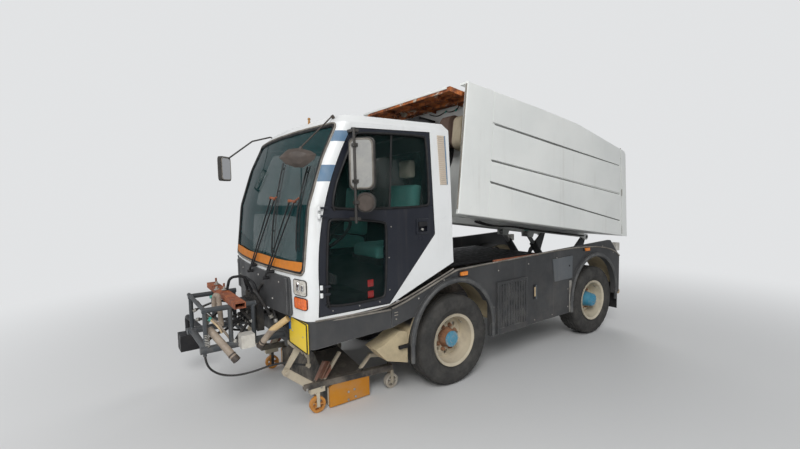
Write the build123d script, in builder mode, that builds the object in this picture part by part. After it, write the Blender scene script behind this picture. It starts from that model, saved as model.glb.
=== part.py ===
"""Compact street sweeper truck, parked with its hopper part raised and its brooms taken off.

Lengths are in mm. +X is the truck's left side, -Y its front and +Z up. The origin is on the
ground below the middle of the truck's box.
"""

import os
from math import cos, radians, sin, tan

from build123d import *

os.makedirs("parts", exist_ok=True)

# Wheels and axles
front_axle_y = -480
rear_axle_y = 1780
wheel_x = 745
tyre_radius = 410
tyre_half_width = 128
rim_radius = 224.7
hub_bore = 30.05
spindle_radius = 30
kingpin_x = 590
kingpin_radius = 22
running_gap = 0.05
axle_z = tyre_radius

# Frame rails
rail_x = 330
rail_width = 70
rail_low = 520
rail_high = 670
rail_front = -1850
rail_rear = 2300
rail_inner = rail_x - rail_width / 2

# Cab: a stack of plan sections joined by straight walls
body_x = 900
wall = 42
cab_corner_radius = 90
cab_floor = 850
cab_sections = (
    # height, front at the middle, front at the side, rear, half width
    (cab_floor, -1968, -1880, -513, body_x),
    (1200, -1972, -1884, -531, body_x),
    (1650, -1922, -1834, -545, body_x),
    (2000, -1806, -1718, -560, body_x),
    (2262, -1676, -1588, -572, body_x),
    (2322, -1612, -1528, -600, 846),
)
cab_rear_low = (-519, 1134)
cab_belly_corner = (-1214, 864)

# Doors
door_gap = 6
door_hinge_x = 916
door_hinge_y = -1790
door_hinge_zs = (1033, 1089, 1590, 1646)

# Hopper, placed by its hinge and written in its own plane: along it, up from it
hopper_hinge_y = 2434
hopper_hinge_z = 1097
hopper_tilt = 8
hopper_floor = 45
hopper_nose = -2935
hopper_tail = 42
hopper_wall = 22
tank_front = -2560
cover_x = 870
hinge_pin_radius = 20
hopper_pin_reach = 52
door_hinge_along = -262
door_hinge_up = 1138
door_pin_radius = 12

# Tipping cylinders
cylinder_x = 200
cylinder_foot_y = 1950
cylinder_foot_z = 540
cylinder_eye_along = -1050
cylinder_eye_up = -40
barrel_radius = 45
rod_radius = 26
cylinder_pin_radius = 18

# Suction nozzle under the cab
nozzle_x = 545
nozzle_hinge_y = -1943
nozzle_hinge_z = 396
nozzle_pin_radius = 14
nozzle_middle_y = -1400
roller_radius = 64
roller_z = 68
roller_x = 547
roller_ys = (-1690, -980)

# Front broom carrier
carrier_x = 290
carrier_low = 610
carrier_top = 905
carrier_posts = (-2440, -2262, -2090)

# The front tubes reach as far from the origin as the hopper's tail does
tail_angle = radians(hopper_tilt)
box_end = hopper_hinge_y + hopper_tail * cos(tail_angle) + hopper_floor * sin(tail_angle)

# Loose hose below the front carrier, hung between its two glands
hose_radius = 8
hose_route = (
    (285, -2450, 562),
    (285, -2446, 490),
    (290, -2375, 408),
    (305, -2255, 366),
    (340, -2110, 378),
    (382, -1995, 412),
    (435, -1905, 427),
    (495, -1840, 416),
    (518, -1766, 398),
)

sides = (("left", 1), ("right", -1))

hopper_plane = Plane(
    origin=(0, hopper_hinge_y, hopper_hinge_z),
    x_dir=(0, cos(radians(hopper_tilt)), -sin(radians(hopper_tilt))),
    z_dir=(1, 0, 0),
)


def save(piece, name):
    """Label a finished piece and write it to its own file."""
    piece.part.label = name
    export_step(piece.part, f"parts/{name}.step")


def block(x_span, y_span, z_span, mode=Mode.ADD):
    """A box between two values on each axis, in the part being built."""
    spans = (x_span, y_span, z_span)
    size = [high - low for low, high in spans]
    middle = tuple((high + low) / 2 for low, high in spans)
    with Locations(middle):
        Box(*size, mode=mode)


def pipe(points, radius, bend=0, bore=0):
    """A round bar or tube through the points, with its corners bent."""
    with BuildLine() as route:
        if bend:
            FilletPolyline(*points, radius=bend)
        else:
            Polyline(*points)
    with BuildSketch(Plane(origin=route.line @ 0, z_dir=route.line % 0)) as section:
        Circle(radius)
        if bore:
            Circle(bore, mode=Mode.SUBTRACT)
    sweep(section.sketch, path=route.line)


def cross_bar(x_span, y, z, radius, mode=Mode.ADD):
    """A round bar along X."""
    low, high = x_span
    with Locations(Location(((low + high) / 2, y, z), (0, 90, 0))):
        Cylinder(radius, high - low, mode=mode)


def side_plate(points, x_low, x_high, mode=Mode.ADD):
    """A flat plate with an outline of (y, z) points, between two values of X."""
    with BuildSketch(Plane.YZ.offset(x_low)) as outline:
        with BuildLine():
            Polyline(*points, close=True)
        make_face()
    extrude(outline.sketch, amount=x_high - x_low, mode=mode)


def mirrored(side, low, high):
    """The span of X on one side of the truck."""
    return (low, high) if side > 0 else (-high, -low)


# Chassis frame: two rails, with crossmembers between them
crossmember_table = (
    # place, bottom, top
    (-1800, 540, 650),
    (-1040, 522, 560),
    (700, 540, 650),
    (1340, 540, 650),
    (2220, 540, 650),
)

with BuildPart() as chassis_frame:
    for _, side in sides:
        block(
            mirrored(side, rail_inner, rail_inner + rail_width),
            (rail_front, rail_rear),
            (rail_low, rail_high),
        )

save(chassis_frame, "chassis_frame")

with BuildPart() as crossmembers:
    for y, low, high in crossmember_table:
        block((-rail_inner, rail_inner), (y - 40, y + 40), (low, high))
    cross_bar((-rail_inner, rail_inner), cylinder_foot_y, cylinder_foot_z, cylinder_pin_radius)

save(crossmembers, "crossmembers")

# Uprights on the rails, each with a round head and the pin that the hopper tips on
upright_outline = ((1990, rail_high), (2278, rail_high), (2468, 1085), (2403, 1116), (2120, 900))
upright_head = 36
upright_x = rail_x - 12

with BuildPart() as hopper_uprights:
    for _, side in sides:
        side_plate(upright_outline, *mirrored(side, upright_x, upright_x + 24))
        cross_bar(mirrored(side, upright_x, upright_x + 24), hopper_hinge_y, hopper_hinge_z, upright_head)
        cross_bar(mirrored(side, upright_x - 10, upright_x + 34), 2205, 810, 62, mode=Mode.SUBTRACT)
        pin = mirrored(side, upright_x + 24, rail_x + hopper_pin_reach)
        cross_bar(pin, hopper_hinge_y, hopper_hinge_z, hinge_pin_radius)

save(hopper_uprights, "hopper_uprights")

# Rear bumper beam with its towing eye
with BuildPart() as rear_bumper:
    block((-840, 840), (rail_rear, rail_rear + 50), (560, 700))
    fillet(rear_bumper.edges().filter_by(Axis.Z), 20)
    block((-12, 12), (rail_rear + 50, rail_rear + 150), (580, 680))
    fillet(rear_bumper.edges().filter_by(Axis.X).group_by(Axis.Y)[-1], 40)
    cross_bar((-30, 30), rail_rear + 105, 630, 18, mode=Mode.SUBTRACT)

save(rear_bumper, "rear_bumper")


def cab_body(inset):
    """The cab's outer form, drawn in by inset all round."""
    with BuildPart() as body:
        for height, front, corner, rear, half_width in cab_sections:
            x = half_width - inset
            with BuildSketch(Plane.XY.offset(height)) as plan:
                with BuildLine():
                    ThreePointArc((-x, corner + inset), (0, front + inset), (x, corner + inset))
                    Polyline((x, corner + inset), (x, rear - inset), (-x, rear - inset), (-x, corner + inset))
                make_face()
                fillet(plan.vertices().group_by(Axis.Y)[0], cab_corner_radius - inset)
        loft(ruled=True)
    return body.part


def belly(clearance):
    """The space behind and below the cab, over the front wheels."""
    rear_y, rear_z = cab_rear_low
    corner_y, corner_z = cab_belly_corner
    with BuildPart() as space:
        side_plate(
            (
                (corner_y - 400, 700),
                (corner_y - 400, cab_floor + clearance),
                (corner_y - 0.4 * clearance, corner_z + clearance),
                (rear_y - 0.4 * clearance, rear_z + clearance),
                (rear_y + 300, rear_z + clearance + 120),
                (rear_y + 300, 700),
            ),
            -1000,
            1000,
        )
    return space.part


door_front_low = (-1812, 874)
door_front_knee = (-1800, 1057)
door_front_mid = (-1744, 1645)
door_front_top = (-1508, 2222)
door_outline_rear = ((-778, 2236), (-733, 1392), (-1206, 874))
windscreen_low = 1180
windscreen_high = 2255


def door_shape(x_low, x_high, shrink=0, mode=Mode.ADD):
    """The side door's outline, with its curved front edge."""
    with BuildSketch(Plane.YZ.offset(x_low)) as outline:
        with BuildLine():
            Line(door_front_low, door_front_knee)
            ThreePointArc(door_front_knee, door_front_mid, door_front_top)
            Polyline(door_front_top, *door_outline_rear, door_front_low)
        make_face()
        if shrink:
            offset(amount=-shrink, kind=Kind.INTERSECTION)
    extrude(outline.sketch, amount=x_high - x_low, mode=mode)


def front_shape(corners, mode=Mode.ADD, rounding=40):
    """A block behind an outline of (x, z) points seen from the front."""
    with BuildSketch(Plane.XZ.offset(2100)) as outline:
        with BuildLine():
            Polyline(*corners, close=True)
        make_face()
        fillet(outline.vertices(), rounding)
    extrude(outline.sketch, amount=-640, mode=mode)


windscreen_outline = (
    (-855, windscreen_low),
    (855, windscreen_low),
    (850, windscreen_high),
    (-850, windscreen_high),
)
rear_window_x = 560
rear_window_low = 1500
rear_window_high = 2120

with BuildPart() as cab_cavity:
    add(cab_body(wall))
    add(belly(wall), mode=Mode.SUBTRACT)
    block((-1000, 1000), (-2100, 0), (2280, 2400), mode=Mode.SUBTRACT)

with BuildPart() as cab_shell:
    add(cab_body(0))
    add(belly(0), mode=Mode.SUBTRACT)
    add(cab_cavity.part, mode=Mode.SUBTRACT)
    front_shape(windscreen_outline, mode=Mode.SUBTRACT)
    for _, side in sides:
        door_shape(*mirrored(side, body_x - wall - 20, body_x + 20), mode=Mode.SUBTRACT)
    block(
        (-rear_window_x, rear_window_x),
        (-640, -500),
        (rear_window_low, rear_window_high),
        mode=Mode.SUBTRACT,
    )

save(cab_shell, "cab_shell")

# Windscreen and rear window, set back in the wall
with BuildPart() as cab_glass:
    add(cab_body(10))
    add(cab_body(20), mode=Mode.SUBTRACT)
    front_shape(windscreen_outline, mode=Mode.INTERSECT)
    block((-rear_window_x, rear_window_x), (-590, -578), (rear_window_low, rear_window_high))

save(cab_glass, "cab_glass")

panel_outline = ((-690, 856), (690, 856), (680, 1145), (-680, 1145))

with BuildPart() as front_panel:
    add(cab_body(-14))
    add(cab_body(0), mode=Mode.SUBTRACT)
    front_shape(panel_outline, mode=Mode.INTERSECT, rounding=30)

save(front_panel, "front_panel")

lens_x = 800


def corner_lenses(low, high):
    """A pair of lenses on the cab's front corners, between two heights."""
    with BuildPart() as lenses:
        add(cab_body(-8))
        add(cab_body(0), mode=Mode.SUBTRACT)
        with BuildSketch(Plane.XZ.offset(2100)) as outline:
            with Locations((-lens_x, (low + high) / 2), (lens_x, (low + high) / 2)):
                Rectangle(140, high - low)
            fillet(outline.vertices(), 12)
        extrude(amount=-300, mode=Mode.INTERSECT)
    return lenses


save(corner_lenses(1032, 1140), "headlamps")
save(corner_lenses(932, 1012), "front_indicators")

# Doors with their glass and mirrors
upper_glass = ((-1693, 1625), (-1640, 1830), (-1478, 2190), (-818, 2204), (-788, 1625))
lower_glass = ((-1752, 930), (-1716, 1572), (-1220, 1522), (-1244, 930))


def glass_shape(points, x_low, x_high, mode):
    """One window of a door."""
    with BuildSketch(Plane.YZ.offset(x_low)) as outline:
        with BuildLine():
            Polyline(*points, close=True)
        make_face()
        fillet(outline.vertices(), 25)
    extrude(outline.sketch, amount=x_high - x_low, mode=mode)


def mirror_head(centre, along, size, thickness, rounding):
    """A mirror housing, upright, with its width along a direction in plan."""
    with BuildSketch(Plane(origin=centre, x_dir=along, z_dir=(-along[1], along[0], 0))) as face:
        Rectangle(*size)
        fillet(face.vertices(), rounding)
    extrude(face.sketch, amount=thickness)


for name, side in sides:
    with BuildPart() as door:
        door_shape(*mirrored(side, body_x - wall, body_x), shrink=door_gap)
        for window in (upper_glass, lower_glass):
            glass_shape(window, *mirrored(side, body_x - wall - 10, body_x + 10), mode=Mode.SUBTRACT)
        block(mirrored(side, body_x, body_x + 8), (-933, -807), (1403, 1527))
        block(mirrored(side, body_x - 22, body_x + 10), (-918, -822), (1418, 1500), mode=Mode.SUBTRACT)
        block(mirrored(side, body_x - 16, body_x + 14), (-910, -830), (1470, 1500))
        for z in door_hinge_zs:
            with Locations((side * door_hinge_x, door_hinge_y, z)):
                Cylinder(10, 26)
            block(mirrored(side, body_x, door_hinge_x), (door_hinge_y, door_hinge_y + 70), (z - 7, z + 7))
    save(door, f"door_{name}")

    with BuildPart() as door_glass:
        for window in (upper_glass, lower_glass):
            glass_shape(window, *mirrored(side, body_x - 24, body_x - 14), mode=Mode.ADD)
    save(door_glass, f"door_glass_{name}")

mirror_tube_x = 985
mirror_tube_y = -1536
mirror_head_x = 1010
mirror_width = 190

# Left mirrors on a tube beside the door
with BuildPart() as mirror_left:
    pipe(((mirror_tube_x, mirror_tube_y, 1530), (mirror_tube_x, mirror_tube_y, 2205)), 10)
    for z in (1560, 2190):
        block((body_x, mirror_tube_x), (mirror_tube_y - 8, mirror_tube_y + 40), (z - 10, z + 10))
    for z in (1678, 1830, 2085):
        block(
            (mirror_tube_x - 17, mirror_tube_x + 17),
            (mirror_tube_y - 15, mirror_tube_y + 20),
            (z - 11, z + 11),
        )
    mirror_head((mirror_head_x, -1495, 1953), (0.73, 0.68, 0), (mirror_width, 372), 34, 40)
    mirror_head((mirror_head_x + 15, -1478, 1678), (0.73, 0.68, 0), (140, 140), 30, 60)

save(mirror_left, "mirror_left")

# Right mirror, out on a wire from the front corner of the roof
with BuildPart() as mirror_right:
    pipe(
        (
            (-815, -1500, 2323),
            (-815, -1500, 2362),
            (-960, -1669, 2322),
            (-mirror_head_x - 16, -1915, 2130),
        ),
        8,
        bend=25,
    )
    mirror_head((-mirror_head_x, -1965, 2030), (-0.73, 0.68, 0), (mirror_width, 250), -34, 30)

save(mirror_right, "mirror_right")

# Kerb mirror on a thin arm from the front corner of the roof, its housing narrowing to the back
bowl_centre = (848, -1900, 1995)

with BuildPart() as mirror_front:
    with BuildSketch(Plane(origin=(752, -1573, 2305), z_dir=(0.1, -0.68, 0.72))):
        Circle(14)
    extrude(amount=24)
    pipe(((754, -1586, 2319), (872, -1892, 2051)), 6)
    bowl_plane = Plane(origin=bowl_centre, x_dir=(0.58, 0.82, 0), z_dir=(0.82, -0.58, 0))
    for back, size, rounding in ((0, (262, 146), 35), (38, (176, 78), 20)):
        with BuildSketch(bowl_plane.offset(back)) as section:
            Rectangle(*size)
            fillet(section.vertices(), rounding)
    loft()

save(mirror_front, "mirror_front")

# Bumper corners, each with a side skirt up to the front wheel arch panel
skirt_side = ((-1880, 648), (-1196, 677), (-1196, 832), (-1880, 846))

with BuildPart() as front_skirt:
    for _, side in sides:
        with BuildSketch(Plane.XY.offset(600)) as plan:
            with BuildLine():
                x = side * body_x
                Polyline(
                    (side * 480, -1880),
                    (x, -1880),
                    (x, -1196),
                    (x - side * 40, -1196),
                    (x - side * 40, -1840),
                    (side * 480, -1840),
                    close=True,
                )
            make_face()
            fillet(plan.vertices().sort_by(lambda v: v.Y - abs(v.X))[0], 55)
        extrude(amount=300)
    side_plate(skirt_side, -1000, 1000, mode=Mode.INTERSECT)

save(front_skirt, "front_skirt")

# Side panels with their two wheel arches and flares
arch_radius = 455
flare_width = 45
front_arch = (-520, 495)
rear_arch = (1720, 500)
panel_low = 365

panel_top = ((2300, 905), (2085, 1118), (-451, 1058), (-520, 1050), (-1120, 838), (-1190, 832))


def arch_band(centre, x_span):
    """The flare round a wheel arch, down to the foot of the panel."""
    y, z = centre
    low, high = x_span
    with BuildSketch(Plane.YZ.offset(low)) as band:
        with BuildLine():
            for radius in (arch_radius, arch_radius + flare_width):
                CenterArc(centre, radius, 0, 180)
            for end in (-1, 1):
                Line((y + end * arch_radius, z), (y + end * (arch_radius + flare_width), z))
        make_face()
    extrude(band.sketch, amount=high - low)


with BuildPart() as side_panels:
    for _, side in sides:
        inner, outer = mirrored(side, body_x - 40, body_x)
        with BuildSketch(Plane.YZ.offset(inner)):
            with BuildLine():
                Polyline(
                    (-1190, 678),
                    (-1002, 721),
                    (-64, 721),
                    (-64, panel_low),
                    (2175, panel_low),
                    (2175, 444),
                    (2300, 444),
                    *panel_top,
                    close=True,
                )
            make_face()
            for y, z in (front_arch, rear_arch):
                with Locations((y, z)):
                    Circle(arch_radius, mode=Mode.SUBTRACT)
                with Locations((y, z - 150)):
                    Rectangle(2 * arch_radius, 300, mode=Mode.SUBTRACT)
        extrude(amount=outer - inner)
        for centre in (front_arch, rear_arch):
            arch_band(centre, mirrored(side, body_x, body_x + 25))

save(side_panels, "side_panels")

# Louvred vents in the side panels, each a frame with upright slats
vent_y = (22, 464)
vent_z = (366, 872)
vent_border = 26
slat_count = 10

with BuildPart() as side_vents:
    for _, side in sides:
        block(mirrored(side, body_x, body_x + 16), vent_y, vent_z)
        field_y = (vent_y[0] + vent_border, vent_y[1] - vent_border)
        field_z = (vent_z[0] + 55, vent_z[1] - vent_border)
        block(mirrored(side, body_x + 4, body_x + 20), field_y, field_z, mode=Mode.SUBTRACT)
        pitch = (field_y[1] - field_y[0]) / slat_count
        for step in range(slat_count):
            y = field_y[0] + (step + 0.5) * pitch
            block(mirrored(side, body_x + 4, body_x + 14), (y - 0.3 * pitch, y + 0.3 * pitch), field_z)

save(side_vents, "side_vents")

# Lids in the side panels between the vent and the rear wheel, with the strip beside the flare
lid_outline = ((902, 1002), (935, 757), (1262, 757), (1262, 1007), (1140, 1007))

with BuildPart() as side_lids:
    for _, side in sides:
        span = mirrored(side, body_x, body_x + 9)
        side_plate(lid_outline, *span)
        block(mirrored(side, body_x, body_x + 12), (605, 625), (618, 765))

save(side_lids, "side_lids")

# Arch liners over the four wheels, with a moulded box in front of the front ones
liner_radius = 520
liner_wall = 14
liner_box = ((-1320, 511), (-1217, 399), (-1013, 338), (-1013, 598), (-1090, 620), (-1221, 546))

with BuildPart() as arch_liners:
    for y in (front_axle_y - 10, rear_axle_y - 20):
        for _, side in sides:
            low, high = mirrored(side, 575, body_x - 42)
            with BuildSketch(Plane.YZ.offset(low)):
                with Locations((y, 430)):
                    Circle(liner_radius + liner_wall)
                    Circle(liner_radius, mode=Mode.SUBTRACT)
                with Locations((y, 0)):
                    Rectangle(2000, 1000, mode=Mode.SUBTRACT)
            extrude(amount=high - low)
    for _, side in sides:
        side_plate(liner_box, *mirrored(side, 690, body_x - 42))

save(arch_liners, "arch_liners")

spring_reach = 430
spring_width = 60
spring_leaf = 12


def leaf_spring(side, axle_y, seat_z):
    """Leaves under a rail, bowed down to the axle, with a shackle at each end."""
    x_span = mirrored(side, rail_x - spring_width / 2, rail_x + spring_width / 2)
    for leaf_count, reach in ((3, spring_reach), (2, 290), (1, 170)):
        top = seat_z + leaf_count * spring_leaf
        rise = (rail_low - 34 - seat_z - 3 * spring_leaf) * (reach / spring_reach) ** 2
        with BuildSketch(Plane.YZ.offset(x_span[0])) as leaf:
            with BuildLine():
                ends = ((axle_y - reach, top + rise), (axle_y + reach, top + rise))
                ThreePointArc(ends[0], (axle_y, top), ends[1])
                Line(ends[1], (ends[1][0], ends[1][1] - spring_leaf))
                ThreePointArc(
                    (ends[1][0], ends[1][1] - spring_leaf),
                    (axle_y, top - spring_leaf),
                    (ends[0][0], ends[0][1] - spring_leaf),
                )
                Line((ends[0][0], ends[0][1] - spring_leaf), ends[0])
            make_face()
        extrude(leaf.sketch, amount=x_span[1] - x_span[0])
    for end in (-1, 1):
        y = axle_y + end * (spring_reach - 12)
        block(x_span, (y - 22, y + 22), (rail_low - 50, rail_low))


# Front axle with its springs and an eye for each kingpin
with BuildPart() as front_axle:
    block((-kingpin_x, kingpin_x), (front_axle_y - 45, front_axle_y + 45), (370, 450))
    for _, side in sides:
        with Locations((side * kingpin_x, front_axle_y, axle_z)):
            Cylinder(48, 90)
            Cylinder(kingpin_radius + running_gap, 100, mode=Mode.SUBTRACT)
        leaf_spring(side, front_axle_y, 448)

save(front_axle, "front_axle")

for name, side in sides:
    with BuildPart() as knuckle:
        with Locations((side * kingpin_x, front_axle_y, axle_z)):
            Cylinder(kingpin_radius, 200)
        for low, high in ((305, 362), (458, 515)):
            block(
                mirrored(side, kingpin_x - 38, 672),
                (front_axle_y - 42, front_axle_y + 42),
                (low, high),
            )
        block(mirrored(side, 648, 672), (front_axle_y - 42, front_axle_y + 42), (305, 515))
        cross_bar(mirrored(side, 655, 672), front_axle_y, axle_z, 150)
        cross_bar(mirrored(side, 672, wheel_x), front_axle_y, axle_z, spindle_radius)
    save(knuckle, f"knuckle_{name}")

# Rear axle with its drive casing
with BuildPart() as rear_axle:
    cross_bar((-655, 655), rear_axle_y, axle_z, 55)
    cross_bar((-110, 110), rear_axle_y, axle_z, 140)
    for _, side in sides:
        cross_bar(mirrored(side, 640, 662), rear_axle_y, axle_z, 150)
        cross_bar(mirrored(side, 655, wheel_x), rear_axle_y, axle_z, spindle_radius)
        block(mirrored(side, rail_x - 34, rail_x + 34), (rear_axle_y - 50, rear_axle_y + 50), (400, 449))
        leaf_spring(side, rear_axle_y, 448)

save(rear_axle, "rear_axle")


def wheel_profile(side, centre_y):
    """The plane in which a wheel's half section is drawn: outward, then away from the axle."""
    return Plane(origin=(side * wheel_x, centre_y, axle_z), x_dir=(side, 0, 0), z_dir=(0, 0, 1))


# reach from the wheel's middle plane, distance from the axle
tyre_half = (
    (86, 406),
    (110, 396),
    (122, 366),
    (tyre_half_width, 325),
    (120, 285),
    (98, 250),
    (86, rim_radius),
)
hand_holes = 8

for end, centre_y in (("front", front_axle_y), ("rear", rear_axle_y)):
    hub_reach = 62 if end == "front" else 100
    for name, side in sides:
        plane = wheel_profile(side, centre_y)
        turning = Axis((side * wheel_x, centre_y, axle_z), (1, 0, 0))
        with BuildPart() as tyre:
            with BuildSketch(plane):
                with BuildLine():
                    far_half = [(-reach, height) for reach, height in reversed(tyre_half)]
                    Polyline(*far_half, (0, tyre_radius), *tyre_half, close=True)
                make_face()
            revolve(axis=turning)
        save(tyre, f"tyre_{end}_{name}")

        with BuildPart() as rim:
            with BuildSketch(plane):
                with BuildLine():
                    Polyline(
                        (-60, 0),
                        (hub_reach, 0),
                        (hub_reach, 72),
                        (-12, 92),
                        (-30, 190),
                        (40, 205),
                        (104, 212),
                        (115, 238),
                        (102, 238),
                        (98, rim_radius),
                        (-98, rim_radius),
                        (-102, 238),
                        (-112, 238),
                        (-104, 206),
                        (-52, 200),
                        (-46, 92),
                        (-60, 78),
                        close=True,
                    )
                make_face()
            revolve(axis=turning)
            with Locations(Location((side * (wheel_x - 28), centre_y, axle_z), (0, 90, 0))):
                Cylinder(hub_bore, 66, mode=Mode.SUBTRACT)
                with PolarLocations(143, hand_holes):
                    Cylinder(20, 80, mode=Mode.SUBTRACT)
        save(rim, f"rim_{end}_{name}")

# Engine block between the rails, behind the cab
with BuildPart() as engine_block:
    block((-280, 280), (-170, 560), (rail_low + 10, 1000))

save(engine_block, "engine_block")

# Seats in the cab: a base, a cushion with raised sides, a back and a headrest
seat_back = ((-800, 1290), (-690, 1290), (-632, 1850), (-730, 1850))
head_rest = ((-718, 1880), (-640, 1880), (-628, 2050), (-696, 2050))

with BuildPart() as seats:
    for _, side in sides:
        block(mirrored(side, 260, 620), (-1120, -740), (1130, 1170))
        block(mirrored(side, 200, 680), (-1180, -700), (1170, 1290))
        for low, high in ((200, 262), (618, 680)):
            side_plate(((-1180, 1290), (-1140, 1322), (-760, 1322), (-700, 1290)), *mirrored(side, low, high))
        side_plate(seat_back, *mirrored(side, 210, 670))
        side_plate(head_rest, *mirrored(side, 340, 540))
        for x in (390, 480):
            block(mirrored(side, x, x + 14), (-690, -676), (1850, 1880))

save(seats, "seats")

with BuildPart() as dashboard:
    side_plate(((-1950, 1130), (-1950, 1200), (-1780, 1215), (-1640, 1150), (-1640, 1080)), -850, 850)
    add(cab_body(wall), mode=Mode.INTERSECT)
    pipe(((440, -1700, 1120), (440, -1480, 1400)), 28)
    with Locations(Location((440, -1480, 1400), (38, 0, 0))):
        Torus(200, 14)
        Box(390, 30, 16)
        Cylinder(55, 24)

save(dashboard, "dashboard")

# Suction duct from above the nozzle to the front of the hopper
with BuildPart() as suction_duct:
    pipe(
        ((0, nozzle_middle_y, 410), (0, nozzle_middle_y, 600), (0, -330, 790), (0, -330, 1125)),
        95,
        bend=120,
        bore=85,
    )

save(suction_duct, "suction_duct")

# Front broom carrier: two low tubes out of the rails, with posts and a guard rail
with BuildPart() as broom_carrier:
    for _, side in sides:
        x = side * carrier_x
        pipe(((x, rail_front, carrier_low), (x, -box_end, carrier_low)), 28)
        for y in carrier_posts:
            pipe(((x, y, carrier_low), (x, y, carrier_top)), 17)
        pipe(((x, carrier_posts[-1] + 20, carrier_top), (x, carrier_posts[0] - 20, carrier_top)), 20)
    cross_bar((-carrier_x - 80, carrier_x), carrier_posts[0], carrier_top, 16)
    cross_bar((-carrier_x, carrier_x), carrier_posts[0], carrier_low, 25)
    cross_bar((-carrier_x, carrier_x), carrier_posts[2], carrier_low, 24)

    # gland for the loose hose, under the end of the left tube
    gland_end = Vector(*hose_route[0])
    pipe((gland_end + (gland_end - Vector(*hose_route[1])).normalized() * 26, gland_end), 13)

save(broom_carrier, "broom_carrier")

with BuildPart() as carrier_beam:
    block((-480, 480), (-2272, -2192), (carrier_top + 20, carrier_top + 64))
    block((-500, 500), (-2266, -2198), (carrier_top + 26, carrier_top + 58), mode=Mode.SUBTRACT)
    for x in (-290, 0):
        block((x - 45, x + 45), (-2262, -2202), (carrier_top + 64, carrier_top + 72))
        with Locations((x, -2232, carrier_top + 100)):
            Cylinder(8, 60)

save(carrier_beam, "carrier_beam")

# Short hoses that the carrier holds: radius, bend and route
carrier_hose_routes = (
    (28, 60, ((212, -2402, 742), (300, -2335, 642), (400, -2255, 520))),
    (19, 24, ((100, -2335, 885), (118, -2330, 975), (165, -2312, 975), (185, -2305, 740))),
    (24, 90, ((588, -1920, 820), (500, -2015, 727), (400, -2085, 590))),
    (11, 50, ((-90, -2022, 936), (-90, -2050, 1060), (190, -2045, 1040), (215, -2022, 936))),
    (11, 50, ((70, -2022, 936), (70, -2090, 1090), (20, -2190, 1080), (20, -2215, 980))),
    (9, 30, ((215, -2440, 880), (235, -2340, 780), (256, -2262, 645))),
)

with BuildPart() as carrier_hoses:
    for radius, bend, points in carrier_hose_routes:
        pipe(points, radius, bend=bend)

save(carrier_hoses, "carrier_hoses")

with BuildPart() as valve_bank:
    block((-140, 250), (-2050, -1995), (660, 880))
    for x in (-90, -10, 70, 150, 215):
        with Locations((x, -2022, 900)):
            Cylinder(18, 60)

save(valve_bank, "valve_bank")

with BuildPart() as valve_box:
    block((carrier_x + 28, carrier_x + 128), (-2220, -2120), (600, 700))

save(valve_box, "valve_box")

with BuildPart() as broom_motor:
    block((-900, -730), (-2480, -2320), (295, 445))
    pipe(((-815, -2400, 440), (-815, -2400, carrier_low), (-carrier_x, -2370, carrier_low)), 22, bend=40)
    with Locations(Location((-carrier_x, -2370, carrier_low), (90, 0, 0))):
        Cylinder(28, 100, mode=Mode.SUBTRACT)

save(broom_motor, "broom_motor")

with BuildPart() as number_plate:
    block((530, 870), (-1892, -1880), (620, 830))

save(number_plate, "number_plate")

with BuildPart() as rear_lamps:
    for _, side in sides:
        block(mirrored(side, 620, 830), (rail_rear + 50, rail_rear + 82), (590, 680))

save(rear_lamps, "rear_lamps")

with BuildPart() as side_markers:
    for _, side in sides:
        for y, z in ((-410, 1016), (1564, 1052)):
            block(mirrored(side, body_x, body_x + 16), (y - 40, y + 40), (z - 17, z + 17))

save(side_markers, "side_markers")

# Suction nozzle: a hood over a wide mouth, side frames, arms and roller forks
hood_top = 320
mouth_z = 20
hood_base_z = 190
mouth_y = (-1588, -1214)
beam_x = (521, 571)
beam_front = (-1800, 262)
beam_rear = (-975, 215)
beam_depth = 50
fork_half = 29


def under_beam(y):
    """Height of the side beam's underside, which falls towards the rear."""
    fall = (beam_front[1] - beam_rear[1]) / (beam_rear[0] - beam_front[0])
    return beam_front[1] - beam_depth - fall * (y - beam_front[0])


def nozzle_hood(inset):
    """The hood's form, from the wide mouth up to the round collar."""
    low, high = mouth_y
    middle = (low + high) / 2
    with BuildPart() as hood:
        block(
            (-nozzle_x + inset, nozzle_x - inset),
            (low + inset, high - inset),
            (mouth_z - (inset and 10), hood_base_z),
        )
        with BuildSketch(Plane.XY.offset(hood_base_z)):
            with Locations((0, middle)):
                Rectangle(2 * (nozzle_x - inset), high - low - 2 * inset)
        with BuildSketch(Plane.XY.offset(hood_top)):
            with Locations((0, middle)):
                Rectangle(250 - 2 * inset, 250 - 2 * inset)
        loft()
    return hood.part


rear_arm = (
    (-1330, 225),
    (-1300, 225),
    (-1190, 330),
    (-1005, 290),
    (-1005, 205),
    (-978, 205),
    (-978, 312),
    (-1190, 362),
)

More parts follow.
